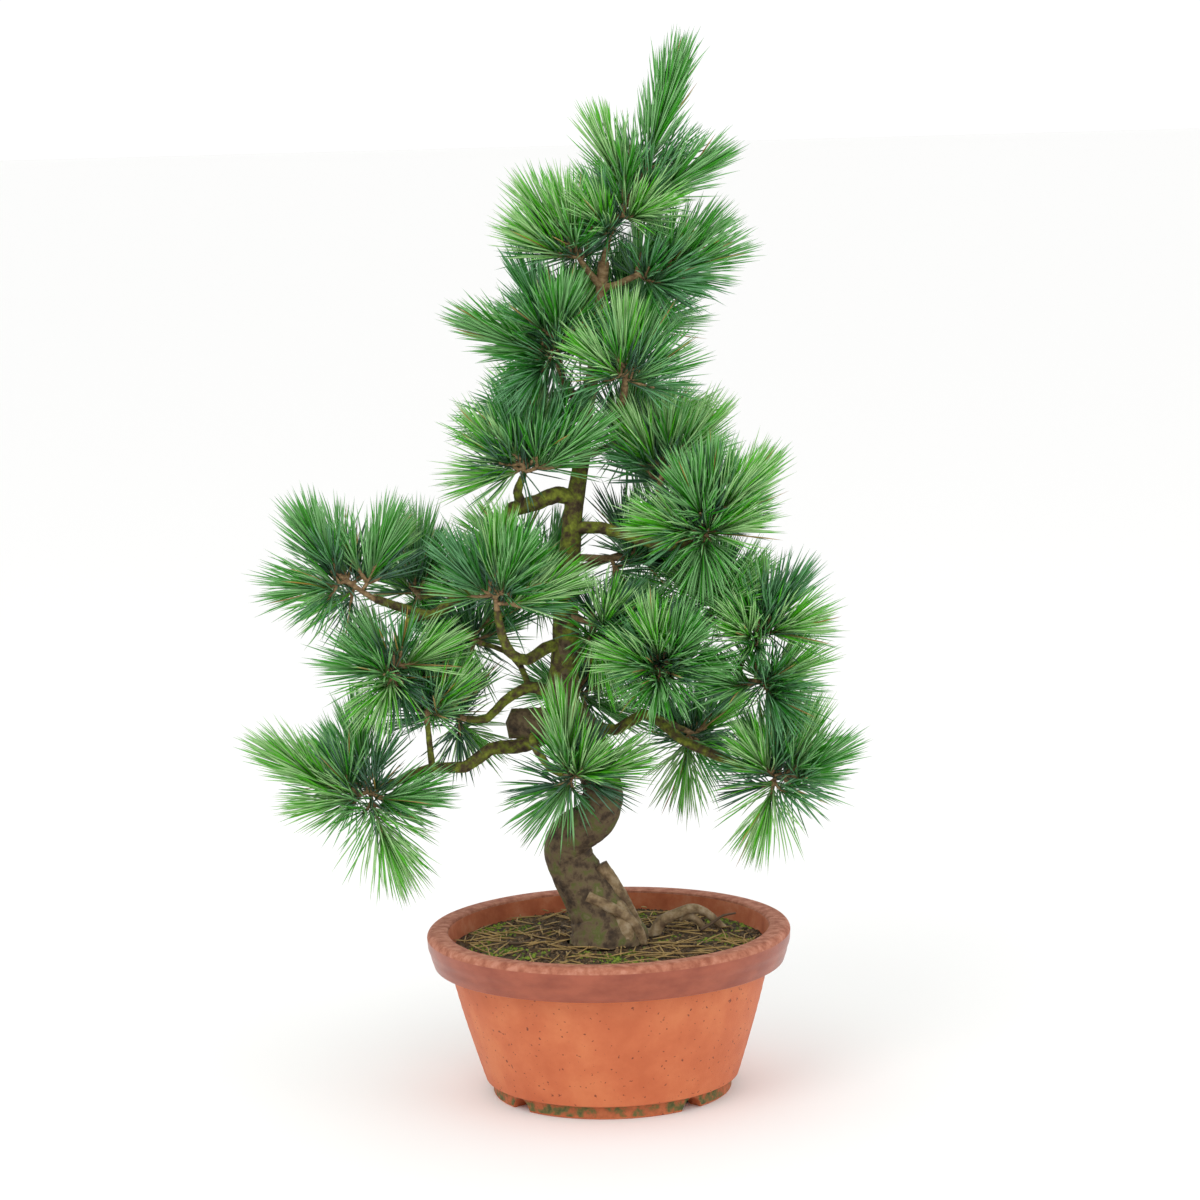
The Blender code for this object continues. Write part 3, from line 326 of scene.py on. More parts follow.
# Camera and light, from the photograph's view
CAMERA_PLACE = (0.3, -2500.0, 700.0)
CAMERA_PITCH = 7.9
CAMERA_ROLL = 1.55
CAMERA_LENS = 107.35
CAMERA_SENSOR = 36.0
FLOOR_REACH = 60.0
SURROUND = 1.05
LAMPS = (("key", (-0.9, -1.7, 2.1), 1.3, 16.0), ("fill", (1.7, -1.3, 1.2), 1.5, 6.0))
LAMP_AIM = (0.0, 0.0, 0.38)


def aim(turn, back):
    """Unit direction from the angle seen from the front and the lean away from the viewer."""
    t = math.radians(turn + LEAN)
    b = math.radians(back)
    return np.array((math.cos(t) * math.cos(b), math.sin(b), math.sin(t) * math.cos(b)))


def walk(start, legs):
    """The points reached one after another by a chain of legs."""
    points = [np.array(start, float)]
    for length, turn, back in legs:
        points.append(points[-1] + aim(turn, back) * length)
    return points


def smooth(points, per_leg):
    """A curve through the points: on each leg the Catmull-Rom cubic of the four points round it."""
    p = np.array(points, float)
    ends = np.vstack([2 * p[0] - p[1], p, 2 * p[-1] - p[-2]])
    t = (np.arange(per_leg) / per_leg)[:, None]
    runs = []
    for a, b, c, d in zip(ends, ends[1:], ends[2:], ends[3:]):
        square = (2 * a - 5 * b + 4 * c - d) * t**2
        cube = (3 * b - a - 3 * c + d) * t**3
        runs.append(0.5 * (2 * b + (c - a) * t + square + cube))
    return np.vstack([*runs, p[-1:]])


def distances(path):
    """Distance along the path at each of its points."""
    return np.concatenate([[0.0], np.cumsum(np.linalg.norm(np.diff(path, axis=0), axis=1))])


def points_at(path, shares):
    """The points at some shares of the path's length."""
    along = distances(path)
    places = np.asarray(shares) * along[-1]
    return np.stack([np.interp(places, along, path[:, axis]) for axis in range(3)], axis=-1)


def end_direction(path):
    """Unit direction of the path's last stretch."""
    last = path[-1] - path[-2]
    return last / np.linalg.norm(last)


def trunk_radius(height, whole):
    """Taper from foot to tip, with the flare at the foot and the swelling at the old stub added."""
    share = np.clip(height / whole, 0.0, 1.0)
    taper = TRUNK_TIP_RADIUS + (TRUNK_FOOT_RADIUS - TRUNK_TIP_RADIUS) * (1.0 - share) ** TRUNK_TAPER
    flare = FLARE * np.exp(-np.maximum(height, 0.0) / FLARE_HEIGHT)
    knee = KNEE_SWELL * np.exp(-(((height - KNEE_HEIGHT) / KNEE_REACH) ** 2))
    return taper + flare + knee


def limb_course(woods, parent, share, legs, per_leg):
    """The smooth course of a limb or stem from its place on its parent."""
    path = woods[parent][0]
    if share < 1.0:
        return smooth(walk(points_at(path, share), legs), per_leg)
    ahead = end_direction(path)
    return np.vstack([path[-1] + ahead * GAP, smooth(walk(path[-1] + ahead * 2.5, legs), per_leg)])


def grow_wood():
    """The trunk's and the limbs' courses and radii, by name."""
    line = smooth(walk(TRUNK_FOOT, TRUNK_LEGS), 2)
    woods = {"trunk": (line, trunk_radius(line[:, 2] - GROUND, line[-1, 2] - GROUND))}
    for name, (parent, share, root, tip, legs) in LIMBS.items():
        path = limb_course(woods, parent, share, legs, 2)
        woods[name] = (path, root + (tip - root) * distances(path) / distances(path)[-1])
    return woods


def whorl(stem, count, rng):
    """Side shoots evenly spaced round the stem's end, splayed from it, and one that carries the stem on."""
    ahead = Vector(end_direction(stem))
    across = ahead.orthogonal().normalized()
    first = rng.uniform(0.0, 360.0)
    shoots = [(1.0, LEADING_REACH, ahead)]
    for k in range(count - 1):
        round_stem = Matrix.Rotation(math.radians(first + 360.0 * k / (count - 1)), 3, ahead)
        splay = math.radians(WHORL_SPLAY + rng.uniform(-8.0, 8.0))
        direction = ahead * math.cos(splay) + (round_stem @ across) * math.sin(splay)
        shoots.append((rng.uniform(0.6, 0.95), rng.uniform(*WHORL_REACH), direction))
    return shoots


def grow_mass(woods, parent, share, legs, long_shoots, whorl_count, seed):
    """The stem of one mass and the courses of its shoots: foot, start of the needles, and on to the tip."""
    rng = random.Random(seed)
    stem = limb_course(woods, parent, share, legs, 2)
    aims = [(place, length, aim(turn, back)) for place, length, turn, back in long_shoots]
    aims.extend(whorl(stem, whorl_count, rng) if whorl_count else [])
    shoots = []
    for place, length, direction in aims:
        direction = np.array(direction)
        least = STEM_CLEAR if share == 1.0 else TRUNK_STEM_CLEAR
        if direction @ end_direction(stem) < 0.0:
            least = max(least, BACKWARD_CLEAR)
        start = points_at(stem, max(place, least))
        sag = np.array((0.0, 0.0, SHOOT_SAG * length))
        line = smooth([start, start + direction * length / 2 - sag, start + direction * length], 4)
        brush = min(max(BRUSH_LENGTH, length * PLUME_SHARE), length - 5.0)
        bare = 1.0 - brush / distances(line)[-1]
        bands = max(LEAST_BANDS, round(brush / BAND))
        shoots.append(points_at(line, (0.0, *np.linspace(bare, 1.0, bands + 1))))
    return {"stem": stem, "shoots": shoots, "radius": STEM_RADIUS if share == 1.0 else TRUNK_STEM_RADIUS}


def pushes(shoot, starts, ends, reach):
    """How short of its clear space each point of a shoot is, and the way out, against the nearest segment."""
    run = ends - starts
    square = np.maximum((run**2).sum(axis=1), 1e-9)
    offset = shoot[:, None, :] - starts[None, :, :]
    along = np.clip((offset * run[None, :, :]).sum(axis=2) / square, 0.0, 1.0)
    offset = offset - along[:, :, None] * run[None, :, :]
    away = np.linalg.norm(offset, axis=2)
    short = reach[None, :] - away
    worst = short.argmax(axis=1)
    rows = np.arange(len(shoot))
    return short[rows, worst], offset[rows, worst] / np.maximum(away[rows, worst], 1e-6)[:, None]


def spread(plans, woods):
    """Moves shoots off the limbs and off other masses' shoots, and drops those that stay too close."""
    limbs = [(a, b, max(r, s)) for path, radii in woods.values()
             for a, b, r, s in zip(path, path[1:], radii, radii[1:])]
    for turn in range(SPREAD_ROUNDS + 1):
        for plan in plans.values():
            rows = list(limbs)
            for other in plans.values():
                if other is not plan:
                    rows.extend((a, b, BRUSH_RADIUS) for s in other["shoots"] for a, b in zip(s, s[1:]))
                    rows.extend((a, b, other["radius"]) for a, b in zip(other["stem"], other["stem"][1:]))
            starts, ends, radii = (np.array(column) for column in zip(*rows))
            kept = []
            for shoot in plan["shoots"]:
                short, way = pushes(shoot, starts, ends, radii + BRUSH_RADIUS + ROOM)
                if turn == SPREAD_ROUNDS and short[1:].max() > ROOM:
                    continue
                for k in range(1, len(shoot)):
                    if turn < SPREAD_ROUNDS and short[k] > 0.0:
                        shoot[k:] += way[k] * short[k] * SPREAD_EASE
                kept.append(shoot)
            plan["shoots"] = kept


def linear(code):
    """Linear colour from an sRGB hex value."""
    channels = [int(code[k:k + 2], 16) / 255 for k in (0, 2, 4)]
    return (*(c / 12.92 if c <= 0.04045 else ((c + 0.055) / 1.055) ** 2.4 for c in channels), 1.0)


def new_material(name, code, roughness, specular=0.5):
    """A Principled material with plain values on the shader's own sockets."""
    material = bpy.data.materials.new(name)
    material.use_nodes = True
    shader = material.node_tree.nodes["Principled BSDF"]
    shader.inputs["Base Color"].default_value = linear(code)
    shader.inputs["Roughness"].default_value = roughness
    shader.inputs["Specular IOR Level"].default_value = specular
    return material


def add(material, kind, settings=None, links=None):
    """Adds one node, sets its properties or inputs, and links its inputs from (node, output) pairs."""
    tree = material.node_tree
    made = tree.nodes.new(kind)
    for key, value in (settings or {}).items():
        if isinstance(key, str) and hasattr(made, key):
            setattr(made, key, value)
        else:
            made.inputs[key].default_value = value
    for key, (source, output) in (links or {}).items():
        tree.links.new(source.outputs[output], made.inputs[key])
    return made


def into_shader(material, node, output, socket):
    """Links a node's output to a socket of the material's shader."""
    shader = material.node_tree.nodes["Principled BSDF"]
    material.node_tree.links.new(node.outputs[output], shader.inputs[socket])


def textured(name, code, roughness, tones, blotch, grain, depth, stretch=1.0, span=(0.35, 0.65)):
    """A material with blotches of several tones and a fine relief, their sizes in millimetres.

    Returns the material with the node of its place and the node of its tones.
    """
    material = new_material(name, code, roughness)
    place = add(material, "ShaderNodeTexCoord")
    placed = add(material, "ShaderNodeMapping", {"Scale": (1.0, 1.0, stretch)}, {"Vector": (place, "Object")})
    at_place = {"Vector": (placed, "Vector")}
    noise = add(material, "ShaderNodeTexNoise",
                {"Scale": 1.0 / (blotch * MM), "Detail": 5.0, "Roughness": 0.6}, at_place)
    ramp = add(material, "ShaderNodeValToRGB", None, {"Fac": (noise, "Fac")})
    elements = ramp.color_ramp.elements
    places = np.linspace(*span, len(tones))
    elements[0].position = places[0]
    elements[0].color = linear(tones[0])
    elements[1].position = places[-1]
    elements[1].color = linear(tones[-1])
    for position, tone in zip(places[1:-1], tones[1:-1]):
        elements.new(position).color = linear(tone)
    into_shader(material, ramp, "Color", "Base Color")
    grains = add(material, "ShaderNodeTexNoise",
                 {"Scale": 1.0 / (grain * MM), "Detail": 4.0, "Roughness": 0.65}, at_place)
    bump = add(material, "ShaderNodeBump", {"Distance": depth * MM, "Strength": 0.8},
               {"Height": (grains, "Fac")})
    into_shader(material, bump, "Normal", "Normal")
    return material, placed, ramp


def specked(material, placed, ramp, code, size, share):
    """Lays small specks of one colour over the base colours."""
    cells = add(material, "ShaderNodeTexNoise", {"Scale": 1.0 / (size * MM), "Detail": 1.0},
                {"Vector": (placed, "Vector")})
    mask = add(material, "ShaderNodeMapRange", {"From Min": share, "From Max": share + 0.04},
               {"Value": (cells, "Fac")})
    mix = add(material, "ShaderNodeMix", {"data_type": "RGBA", 7: linear(code)},
              {0: (mask, "Result"), 6: (ramp, "Color")})
    into_shader(material, mix, 2, "Base Color")
    return material


def pot_materials():
    """Thrown terracotta, fired unglazed, in the order of the pot's faces."""
    # The lip is worn rough and shows chalky
    tones = ("93523C", "AC6B52", "BD8069")
    lip, _, _ = textured("terracotta_lip", "A96A52", 0.85, tones, 6.0, 0.8, 0.35)
    # The band was burnished on the wheel, so it is darker and takes a soft shine
    tones = ("88402B", "944A33", "A0533A")
    band, _, _ = textured("terracotta_band", "944A33", 0.32, tones, 26.0, 1.6, 0.12, 2.2)
    # The wall is matte, with small dark pits
    tones = ("BE6238", "C66A3F", "CE7648")
    wall = specked(*textured("terracotta_wall", "C66A3F", 0.62, tones, 34.0, 0.9, 0.25), "7A3A22", 2.6, 0.70)
    # Damp keeps green algae on the foot
    tones = ("49522A", "6C6434", "A85C36", "B8683F")
    foot, _, _ = textured("terracotta_foot", "A0562F", 0.8, tones, 7.0, 0.9, 0.3, span=(0.34, 0.62))
    tones = ("A9552F", "BC663F", "C67A55")
    inside, _, _ = textured("terracotta_inside", "B9623C", 0.7, tones, 20.0, 1.2, 0.2)
    return [lip, band, wall, foot, inside]


def bark_materials():
    """Flaking pine bark: grey-brown plates with moss low down, and tan where the wood is young."""
    tones = ("2A2119", "4A3B2B", "6B5A42", "59602C", "7E7054")
    old, _, _ = textured("pine_bark_old", "4A3C2E", 0.9, tones, 9.0, 1.1, 0.5, span=(0.3, 0.72))
    tones = ("35291B", "54452C", "6D7426", "8C9434")
    mossy, _, _ = textured("pine_bark_mossy", "5A5A2A", 0.92, tones, 6.0, 1.0, 0.5, span=(0.32, 0.66))
    tones = ("6E5438", "8C704E", "A88C66")
    young, _, _ = textured("pine_bark_young", "8A6E4C", 0.85, tones, 4.0, 0.9, 0.35, 1.8)
    tones = ("5E4A34", "8A7454", "A8967A")
    root, _, _ = textured("pine_root_bare", "8C7858", 0.85, tones, 8.0, 0.9, 0.35)
    return [old, mossy, young, root]


def needle_materials():
    """Waxy needles: for each tone a green outer face, then inner faces whose lines of wax read blue-white."""
    rows = (("fresh", "54B81A", "A6D48C"), ("green", "3A9A1C", "84BE78"), ("deep", "2B7F22", "6CA672"),
            ("old", "22592A", "587F66"), ("straw", "A8863F", "B0925A"))
    made = []
    for tone, outer, inner in rows:
        made.append(new_material(f"needle_{tone}_outer", outer, 0.42))
        made.append(new_material(f"needle_{tone}_waxy", inner, 0.55, 0.4))
    return made


def soil_materials():
    """Granules in three browns, moss in two greens, straw needles and dead twigs, in that order."""
    rows = (("granule_dark", "33271A", 0.95), ("granule_brown", "54402A", 0.95),
            ("granule_tan", "7A6344", 0.9), ("moss_green", "55691F", 0.9), ("moss_bright", "7C8F2C", 0.9),
            ("straw_dry", "A98B54", 0.7), ("twig_dead", "5A4735", 0.85))
    return [new_material(*row) for row in rows]


def make_piece(name, points, triangles, materials, kinds, nodes, flat=False):
    """A mesh from arrays of points in millimetres and triangles, riding on the frame."""
    mesh = bpy.data.meshes.new(name)
    count = len(triangles)
    mesh.vertices.add(len(points))
    mesh.vertices.foreach_set("co", ((points + AXIS) * MM).astype(np.float32).ravel())
    mesh.loops.add(count * 3)
    mesh.loops.foreach_set("vertex_index", triangles.astype(np.int32).ravel())
    mesh.polygons.add(count)
    mesh.polygons.foreach_set("loop_start", np.arange(count, dtype=np.int32) * 3)
    mesh.polygons.foreach_set("material_index", np.broadcast_to(kinds, (count,)).astype(np.int32))
    mesh.polygons.foreach_set("use_smooth", np.full(count, not flat))
    for material in materials:
        mesh.materials.append(material)
    mesh.update(calc_edges=True)
    mesh.validate()
    piece = bpy.data.objects.new(name, mesh)
    bpy.context.scene.collection.objects.link(piece)
    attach(piece, "root")
    if nodes:
        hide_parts(*nodes)
    return piece


def grid_triangles(rows, around):
    """Two triangles for each cell of a grid that closes on itself round its second index."""
    r = np.arange(rows - 1)[:, None]
    c = np.arange(around)[None, :]
    a = r * around + c
    b = r * around + (c + 1) % around
    near = np.stack([a, b, b + around], axis=-1)
    far = np.stack([a, b + around, a + around], axis=-1)
    return np.stack([near, far], axis=2).reshape(-1, 3)


def fan(centre, ring, outward):
    """Triangles from a centre point to a ring."""
    following = np.roll(ring, -1)
    middle = np.full(len(ring), centre)
    order = (middle, following, ring) if outward else (middle, ring, following)
    return np.stack(order, axis=1)


def carried_frames(path):
    """Two cross directions at each point of a path, turned as little as can be from one to the next."""
    tangents = np.gradient(path, axis=0)
    tangents /= np.linalg.norm(tangents, axis=1)[:, None]
    side = np.cross(tangents[0], (0.3, -0.9, 0.2))
    sides = []
    for tangent in tangents:
        side = side - tangent * (side @ tangent)
        side = side / np.linalg.norm(side)
        sides.append(side)
    sides = np.array(sides)
    return sides, np.cross(tangents, sides)


def value_noise(rng, u, v, cells_u, cell_v):
    """Smooth noise from 0 to 1 on a lattice of random values that closes round u, with cells along v."""
    y = v / cell_v
    rows = int(np.ceil(y.max())) + 2
    lattice = rng.random((rows, cells_u))
    x = u * cells_u
    i = np.floor(x).astype(int)
    j = np.floor(y).astype(int)
    fx = x - i
    fy = y - j
    fx = fx * fx * (3 - 2 * fx)
    fy = fy * fy * (3 - 2 * fy)
    left = lattice[j, i % cells_u] * (1 - fy) + lattice[j + 1, i % cells_u] * fy
    right = lattice[j, (i + 1) % cells_u] * (1 - fy) + lattice[j + 1, (i + 1) % cells_u] * fy
    return left * (1 - fx) + right * fx


def bark_relief(rng, u, v, plate, cells):
    """Raised plates parted by fissures: folded noise at plate size, with two finer folds laid on it."""
    bend = value_noise(rng, u, v, cells, plate * 1.6)
    relief = np.zeros(np.broadcast(u, v).shape)
    for octave, weight in enumerate((0.55, 0.3, 0.15)):
        share = (u + 0.05 * bend) % 1.0
        noise = value_noise(rng, share, v + plate * 0.5 * bend, cells * 2**octave, plate / 2**octave)
        relief += weight * (1.0 - np.abs(2.0 * noise - 1.0)) ** 0.7
    return relief


def barked_tube(path, radii, bark, rng):
    """A closed tube along a path, its radius times one plus the bark's relief, as points and triangles."""
    step, around, plate, depth = bark
    whole = distances(path)[-1]
    shares = np.linspace(0.0, 1.0, max(4, int(whole / step)))
    line = points_at(path, shares)
    radius = np.interp(shares * whole, distances(path), radii)[:, None]
    side, other = carried_frames(line)
    u = np.arange(around)[None, :] / around
    v = (shares * whole)[:, None] + 0.0 * u
    cells = max(4, int(2 * math.pi * float(np.mean(radii)) / plate * 1.5))
    relief = bark_relief(rng, u + 0.0 * v, v, plate, cells)
    ring = radius * (1.0 + depth * (relief - 0.55))
    angle = 2 * math.pi * u
    out = np.cos(angle)[:, :, None] * side[:, None, :] + np.sin(angle)[:, :, None] * other[:, None, :]
    points = line[:, None, :] + ring[:, :, None] * out
    rows = len(line)
    first = np.arange(around)
    triangles = [grid_triangles(rows, around), fan(rows * around, first, True),
                 fan(rows * around + 1, first + (rows - 1) * around, False)]
    swell = float(radius[-1, 0]) * 0.35
    caps = np.array([line[0], line[-1] + end_direction(line) * swell])
    return np.vstack([points.reshape(-1, 3), caps]), np.vstack(triangles)


class Heap:
    """Gathers points, triangles and material numbers of many closed shapes for one joined piece."""

    def __init__(self):
        self.points = []
        self.triangles = []
        self.kinds = []
        self.count = 0

    def put(self, points, triangles, kinds):
        """Adds one shape, with one material number or one for each triangle."""
        self.points.append(points)
        self.triangles.append(triangles + self.count)
        self.kinds.append(np.broadcast_to(kinds, (len(triangles),)))
        self.count += len(points)

    def piece(self, name, materials, slot_name, nodes=(), flat=False):
        """Joins what was gathered into one piece of the scene."""
        make_piece(name, np.vstack(self.points), np.vstack(self.triangles), materials,
                   np.concatenate(self.kinds), nodes, flat)


def make_trunk(woods, materials, rng):
    """The trunk with its bark's relief, sunk a little into the soil, and its surface roots."""
    heap = Heap()
    path, radii = woods["trunk"]
    low = path[0] - np.array((0.0, 0.0, 5.0))
    course = np.vstack([low, path])
    points, triangles = barked_tube(course, np.concatenate([[radii[0]], radii]), TRUNK_BARK, rng)
    points[:, 2] = np.maximum(points[:, 2], GROUND + GAP)
    heights = points[triangles].mean(axis=1)[:, 2]
    wander = 24.0 * np.sin(points[triangles[:, 0], 0] * 0.31) + 18.0 * np.sin(heights * 0.23)
    kinds = np.where(heights + wander < MOSS_FOOT, OLD_BARK, MOSSY_BARK)
    kinds = np.where(heights + 0.4 * wander > YOUNG_FOOT, YOUNG_BARK, kinds)
    heap.put(points, triangles, kinds)
    for start, root, tip, legs in ROOTS:
        course = smooth(walk(start, legs), 4)
        points, triangles = barked_tube(course, np.linspace(root, tip, len(course)), ROOT_BARK, rng)
        points[:, 2] = np.maximum(points[:, 2], GROUND + GAP)
        heap.put(points, triangles, BARE_ROOT)
    heap.piece("trunk_bark", materials, "bark", ("trunk",))


def make_limbs(woods, materials, rng):
    """Every limb with its bark, its root drawn on into its parent."""
    heap = Heap()
    limbs = {name: wood for name, wood in woods.items() if name != "trunk"}
    for name, (path, radii) in limbs.items():
        start = path[0] - (path[1] - path[0]) * 0.2
        bark = STUB_BARK if name == "old_stub" else LIMB_BARK
        kind = MOSSY_BARK if path[:, 2].mean() < YOUNG_LIMBS else YOUNG_BARK
        points, triangles = barked_tube(np.vstack([start, path[1:]]), radii, bark, rng)
        heap.put(points, triangles, OLD_BARK if name == "old_stub" else kind)
    heap.piece("limb_bark", materials, "bark", tuple(limbs))


def side_twigs(shoot, rng):
    """Finer twigs that fork from the bare part and the foot of a shoot's needled part."""
    twigs = []
    ahead = end_direction(shoot)
    turn = rng.uniform(0.0, 2 * math.pi)
    for k in range(SIDE_TWIGS):
        angle = turn + 2 * math.pi * k / SIDE_TWIGS + rng.uniform(-0.5, 0.5)
        side = np.cross(ahead, ASIDE)
        side /= np.linalg.norm(side)
        other = np.cross(ahead, side)
        splay = math.radians(SIDE_SPLAY + rng.uniform(-10.0, 10.0))
        out = math.cos(angle) * side + math.sin(angle) * other
        direction = ahead * math.cos(splay) + out * math.sin(splay)
        start = shoot[0] + (shoot[1] - shoot[0]) * rng.uniform(0.5, 1.0)
        length = rng.uniform(*SIDE_TWIG_LENGTH)
        end = start + direction * length + (0, 0, 2.0)
        line = smooth([start, start + direction * length * 0.5, end], 3)
        twigs.append(points_at(line, (0.0, 0.3, 0.65, 1.0)))
    return twigs


def brush_needles(course, count, lengths, splays, rng):
    """Needles along the needled part of a course: their feet, directions, lengths and bend.

    The splay falls from foot to tip, each needle stands at a random angle round the shoot, and all turn a
    little up to the light.
    """
    brush = course[1:]
    along = np.sort(rng.random(count)) ** 0.9
    feet = points_at(brush, along)
    whole = distances(brush)[-1]
    near = 0.02
    ahead = points_at(brush, np.minimum(along + near, 1.0)) - points_at(brush, np.maximum(along - near, 0.0))
    ahead /= np.linalg.norm(ahead, axis=1)[:, None]
    side = np.cross(ahead, ASIDE)
    side /= np.linalg.norm(side, axis=1)[:, None]
    other = np.cross(ahead, side)
    turn = rng.uniform(0.0, 2 * math.pi, count)
    out = np.cos(turn)[:, None] * side + np.sin(turn)[:, None] * other
    splay = splays[0] + (splays[1] - splays[0]) * along ** 0.8
    splay = np.radians(splay + rng.normal(0.0, 7.0, count))
    direction = ahead * np.cos(splay)[:, None] + out * np.sin(splay)[:, None]
    direction[:, 2] += LIGHT_LIFT * np.sin(splay)
    direction /= np.linalg.norm(direction, axis=1)[:, None]
    middle = 0.9 + 0.1 * np.sin(along * math.pi)
    length = rng.uniform(*lengths, count) * middle * min(1.0, 0.75 + whole / 60.0)
    sideways = ahead - direction * (ahead * direction).sum(axis=1)[:, None]
    bend = sideways * rng.uniform(0.0, 0.22, count)[:, None]
    bend += rng.normal(0.0, 0.035, (count, 3))
    bend[:, 2] -= 0.03
    return feet + out * TWIG_RADIUS * 0.5, direction, length, bend


def needle_shapes(feet, direction, length, bend, rng):
    """Needles as three-sided blades, each bent as a parabola and closed at its foot and its tip.

    Returns points, triangles, whether each is a waxy inner face, and how many triangles a needle has.
    """
    count = len(feet)
    t = NEEDLE_STATIONS
    reach = length[:, None, None]
    line = feet[:, None, :] + reach * (direction[:, None, :] * t[None, :, None]
                                       + bend[:, None, :] * (t**2)[None, :, None])
    side = np.cross(direction, rng.normal(size=(count, 3)))
    side /= np.linalg.norm(side, axis=1)[:, None]
    other = np.cross(direction, side)
    angle = 2 * math.pi * np.arange(3) / 3
    spoke = np.cos(angle)[None, :, None] * side[:, None, :] + np.sin(angle)[None, :, None] * other[:, None, :]
    half = 0.5 * NEEDLE_WIDTH * NEEDLE_TAPER[:3]
    rings = line[:, :3, None, :] + spoke[:, None, :, :] * half[None, :, None, None] * 1.15
    points = np.concatenate([rings.reshape(count, 9, 3), line[:, 3:4, :]], axis=1)
    shape = []
    faces = []
    for ring in (0, 3):
        for k in range(3):
            a, b = ring + k, ring + (k + 1) % 3
            shape.extend(((a, b, b + 3), (a, b + 3, a + 3)))
            faces.extend((k, k))
    for k in range(3):
        shape.append((6 + k, 6 + (k + 1) % 3, 9))
        faces.append(k)
    shape.append((0, 2, 1))
    faces.append(0)
    triangles = (np.array(shape)[None, :, :] + 10 * np.arange(count)[:, None, None]).reshape(-1, 3)
    waxy = np.tile((np.array(faces) > 0).astype(int), count)
    return points.reshape(-1, 3), triangles, waxy, len(shape)


def kept_inside(feet, direction, length, bend):
    """Shortens needles whose tips would leave the frame's box."""
    low = np.array(CAD_LOW) / MM - AXIS - BOX_MARGIN
    high = np.array(CAD_HIGH) / MM - AXIS + BOX_MARGIN
    reach = direction + bend
    tip = feet + reach * length[:, None]
    over = np.maximum(np.maximum(low - tip, tip - high), 0.0).max(axis=1)
    return np.maximum(length - over * 1.3, length * 0.4)


def sprays(shoot, inner, rng):
    """The courses that carry needles on one shoot: itself, its side twigs and its bare foot with old needles.

    Each is a row of course, count of needles, their lengths, their splay and their tone.
    """
    spacing = NEEDLE_SPACING * (INNER_THINNING if inner else 1.0)
    count = int(distances(shoot[1:])[-1] / spacing)
    tone = rng.choices((FRESH, GREEN, DEEP), weights=INNER_TONES if inner else OUTER_TONES)[0]
    rows = [(shoot, count, NEEDLE_LENGTH, NEEDLE_SPLAY, tone)]
    for twig in side_twigs(shoot, rng):
        tone = rng.choices((GREEN, DEEP, OLD), weights=SIDE_TONES)[0]
        rows.append((twig, SIDE_NEEDLES, SIDE_NEEDLE_LENGTH, SIDE_NEEDLE_SPLAY, tone))
    foot = np.array([shoot[0], shoot[0] + (shoot[1] - shoot[0]) * 0.15, shoot[1]])
    rows.append((foot, OLD_NEEDLES, SIDE_NEEDLE_LENGTH, OLD_NEEDLE_SPLAY, OLD))
    return rows


def make_foliage(plans, needles, barks, rng):
    """Twigs in one piece, and the needles of each region in one piece."""
    twigs = Heap()
    seeded = random.Random(NEEDLE_SEED)
    for region, names in REGIONS.items():
        heap = Heap()
        for name in names:
            plan = plans[name]
            radii = np.linspace(plan["radius"] + 0.2, STEM_END + 0.1, len(plan["stem"]))
            twigs.put(*barked_tube(plan["stem"], radii, STEM_BARK, rng), YOUNG_BARK)
            for shoot in plan["shoots"]:
                rows = sprays(shoot, name in INNER_MASSES, seeded)
                for course, count, lengths, splays, tone in rows:
                    feet, direction, length, bend = brush_needles(course, count, lengths, splays, rng)
                    length = kept_inside(feet, direction, length, bend)
                    points, triangles, waxy, each = needle_shapes(feet, direction, length, bend, rng)
                    tones = np.where(rng.random(count) < STRAW_SHARE, STRAW, tone)
                    heap.put(points, triangles, 2 * np.repeat(tones, each) + waxy)
                for course, *_ in rows[:-1]:
                    course = smooth(course, 2)
                    radii = np.linspace(TWIG_RADIUS, TWIG_END, len(course))
                    twigs.put(*barked_tube(course, radii, TWIG_BARK, rng), YOUNG_BARK)
        heap.piece(region, needles, "needles", tuple("foliage_" + name for name in names))
    twigs.piece("twigs", barks, "bark")


def body_radius(height):
    """The pot's outer wall between its foot and the band: nearly straight, a little fuller at the top."""
    share = (height - FOOT_RING_HEIGHT) / (BAND_FOOT - FOOT_RING_HEIGHT)
    return BODY_FOOT_RADIUS + (BODY_TOP_RADIUS - BODY_FOOT_RADIUS) * (1.13 * share - 0.13 * share**3)


